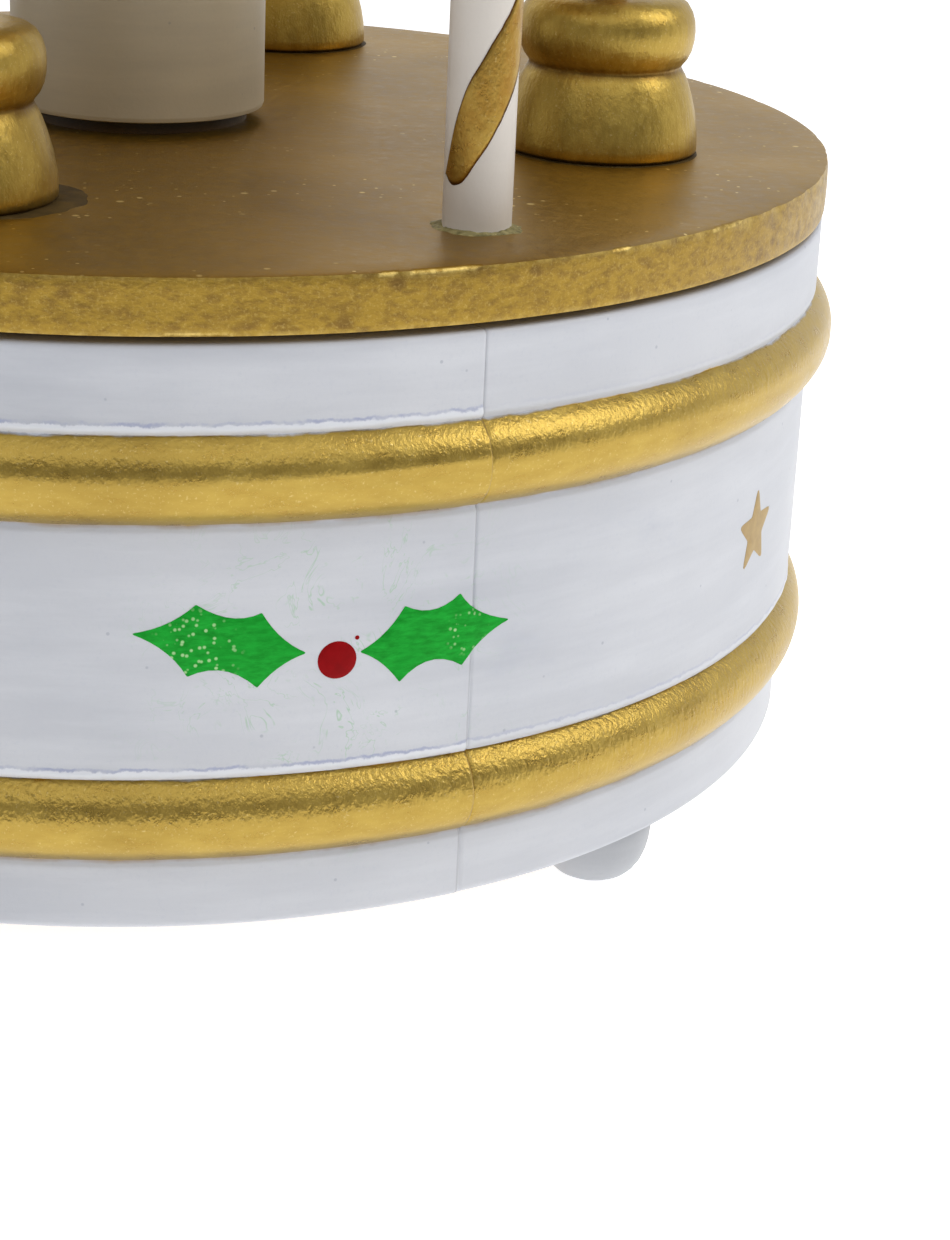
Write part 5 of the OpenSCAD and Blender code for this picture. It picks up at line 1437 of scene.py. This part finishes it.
# the CAD nodes inside the drum only get their material
nodeFinish = [
    (makeWood("bareWood"), ["top_board", "bottom_board"]),
    (makeMetal("brassTurned", "#c79a45", "#a87c33", 0.26, "Z"),
     ["deck_bush", "turntable_hub", "barrel_wheel", "winding_key", "tune_cylinder", "cylinder_pinion",
      "cylinder_wheel", "governor_idler", "spring_barrel"]),
    (makeMetal("brightSteel", "#b9bcc2", "#8f949c", 0.24),
     ["bottom_board_screws", "movement_screws", "plate_screws", "comb_screws", "hub_screws", "drive_shaft",
      "winding_arbor", "cylinder_arbor", "ratchet_wheel", "click", "governor_worm", "music_comb"]),
    (makeMetal("bluedSpring", "#3b4a66", "#27303f", 0.3), ["mainspring"]),
    (makePlain("castMetal", "#8f9194", "#a6a8aa", 0.5, 0.9, 0.8, depth=0.12, strength=0.4),
     ["bedplate", "governor_frame", "cylinder_bearing_inner", "cylinder_bearing_outer"]),
    (makePlain("nylonWhite", "#e4e3dc", "#d6d5cc", 0.45, 0.0, 0.9), ["thrust_washer", "governor_fan"])]
for material, nodes in nodeFinish:
    for name in nodes:
        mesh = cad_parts[name].data
        mesh.materials.clear()
        mesh.materials.append(material)
print("movement finished")

cameraSet = {"place": (0.0, -0.23207, 0.0950), "yaw": 7.44, "down": 20.48, "roll": 2.64, "lens": 80.04}
# the floor glows in full close to the music box and behind it, and not at all far in front of it
floorSet = {"size": 3.0, "low": -0.00005, "light": "#eeeeee", "shade": "#e6e6e6", "full": -0.17,
            "gone": -0.74, "glow": 0.68}
lightSet = {
    "soft": {"place": (-0.08, -0.47, 0.62), "wide": 1.1, "high": 0.50, "power": 1.55, "tone": (1, 1, 1)},
    "key": {"place": (0.62, -0.14, 0.58), "wide": 0.42, "high": 0.42, "power": 1.9, "tone": (1, 0.99, 0.97)},
    "top": {"place": (0.05, 0.10, 0.95), "wide": 0.9, "high": 0.9, "power": 1.5, "tone": (1, 1, 1)},
    "back": {"place": (-0.35, 0.75, 0.55), "wide": 0.8, "high": 0.5, "power": 0.6, "tone": (1, 1, 1)}}
# the room is bright low down behind the music box and dims towards the viewer and overhead
roomSet = {"bright": (0.88, 0.89, 0.90, 1), "dim": (0.22, 0.223, 0.23, 1), "tilt": (0.0, -0.60, 1.0),
           "low": 0.03, "high": 0.46}


def placeCamera():
    yaw, down, roll = (math.radians(cameraSet[k]) for k in ("yaw", "down", "roll"))
    ahead = Vector((math.sin(yaw) * math.cos(down), math.cos(yaw) * math.cos(down), -math.sin(down)))
    right = Vector((math.cos(yaw), -math.sin(yaw), 0))
    up = right.cross(ahead)
    across = math.cos(roll) * right + math.sin(roll) * up
    above = -math.sin(roll) * right + math.cos(roll) * up
    data = bpy.data.cameras.new("view")
    data.sensor_fit = "VERTICAL"
    data.sensor_height = 36
    data.lens = cameraSet["lens"]
    data.clip_start = 0.01
    data.clip_end = 20
    camera = linkPiece("view", data)
    turn = Matrix((across, above, -ahead)).transposed().to_4x4()
    camera.matrix_world = Matrix.Translation(cameraSet["place"]) @ turn
    bpy.context.scene.camera = camera


def makeFloor():
    # a white sweep, lit from under round and behind the music box and left to dim towards the viewer
    p = Paint("paperFloor")
    colour = p.mix(p.grain(40, 3, 0.5), floorSet["shade"], floorSet["light"])
    y = p.split(p.coords)["Y"]
    glow = p.scaled(y, floorSet["gone"], floorSet["full"], 0.0, floorSet["glow"], True)
    material = p.finish(colour, 0.9, p.bump(p.grain(0.8, 3, 0.6), 0.05, 0.05),
                        Emission_Color=(1, 1, 1, 1), Emission_Strength=glow)
    corners = [(x * floorSet["size"], y * floorSet["size"], floorSet["low"])
               for x, y in ((-1, -1), (1, -1), (1, 1), (-1, 1))]
    meshPiece("paper_floor", corners, [(0, 1, 2, 3)], material)


def placeLights():
    for name, one in lightSet.items():
        data = bpy.data.lights.new(name, "AREA")
        data.shape = "RECTANGLE"
        data.size = one["wide"]
        data.size_y = one["high"]
        data.energy = one["power"]
        data.color = one["tone"]
        place = Vector(one["place"])
        aim = Vector((0, 0, 0.06)) - place
        turn = aim.to_track_quat("-Z", "Y").to_matrix().to_4x4()
        linkPiece(name, data).matrix_world = Matrix.Translation(place) @ turn


def makeRoom():
    world = bpy.data.worlds.new("paleRoom")
    world.use_nodes = True
    w = Nodes(world.node_tree)
    way = w.put("ShaderNodeTexCoord").outputs["Generated"]
    s = roomSet
    tilt = w.put("ShaderNodeVectorMath", {0: way, 1: s["tilt"]}, operation="DOT_PRODUCT").outputs["Value"]
    dim = w.put("ShaderNodeMapRange", {"Value": tilt, "From Min": s["low"], "From Max": s["high"]},
                interpolation_type="SMOOTHSTEP").outputs["Result"]
    tone = w.put("ShaderNodeMix", {0: dim, 6: s["bright"], 7: s["dim"]}, data_type="RGBA").outputs[2]
    w.fill(w.tree.nodes["Background"], {"Color": tone})
    bpy.context.scene.world = world


placeCamera()
makeFloor()
placeLights()
makeRoom()
bpy.context.scene.view_settings.view_transform = "Standard"

print("scene ready")
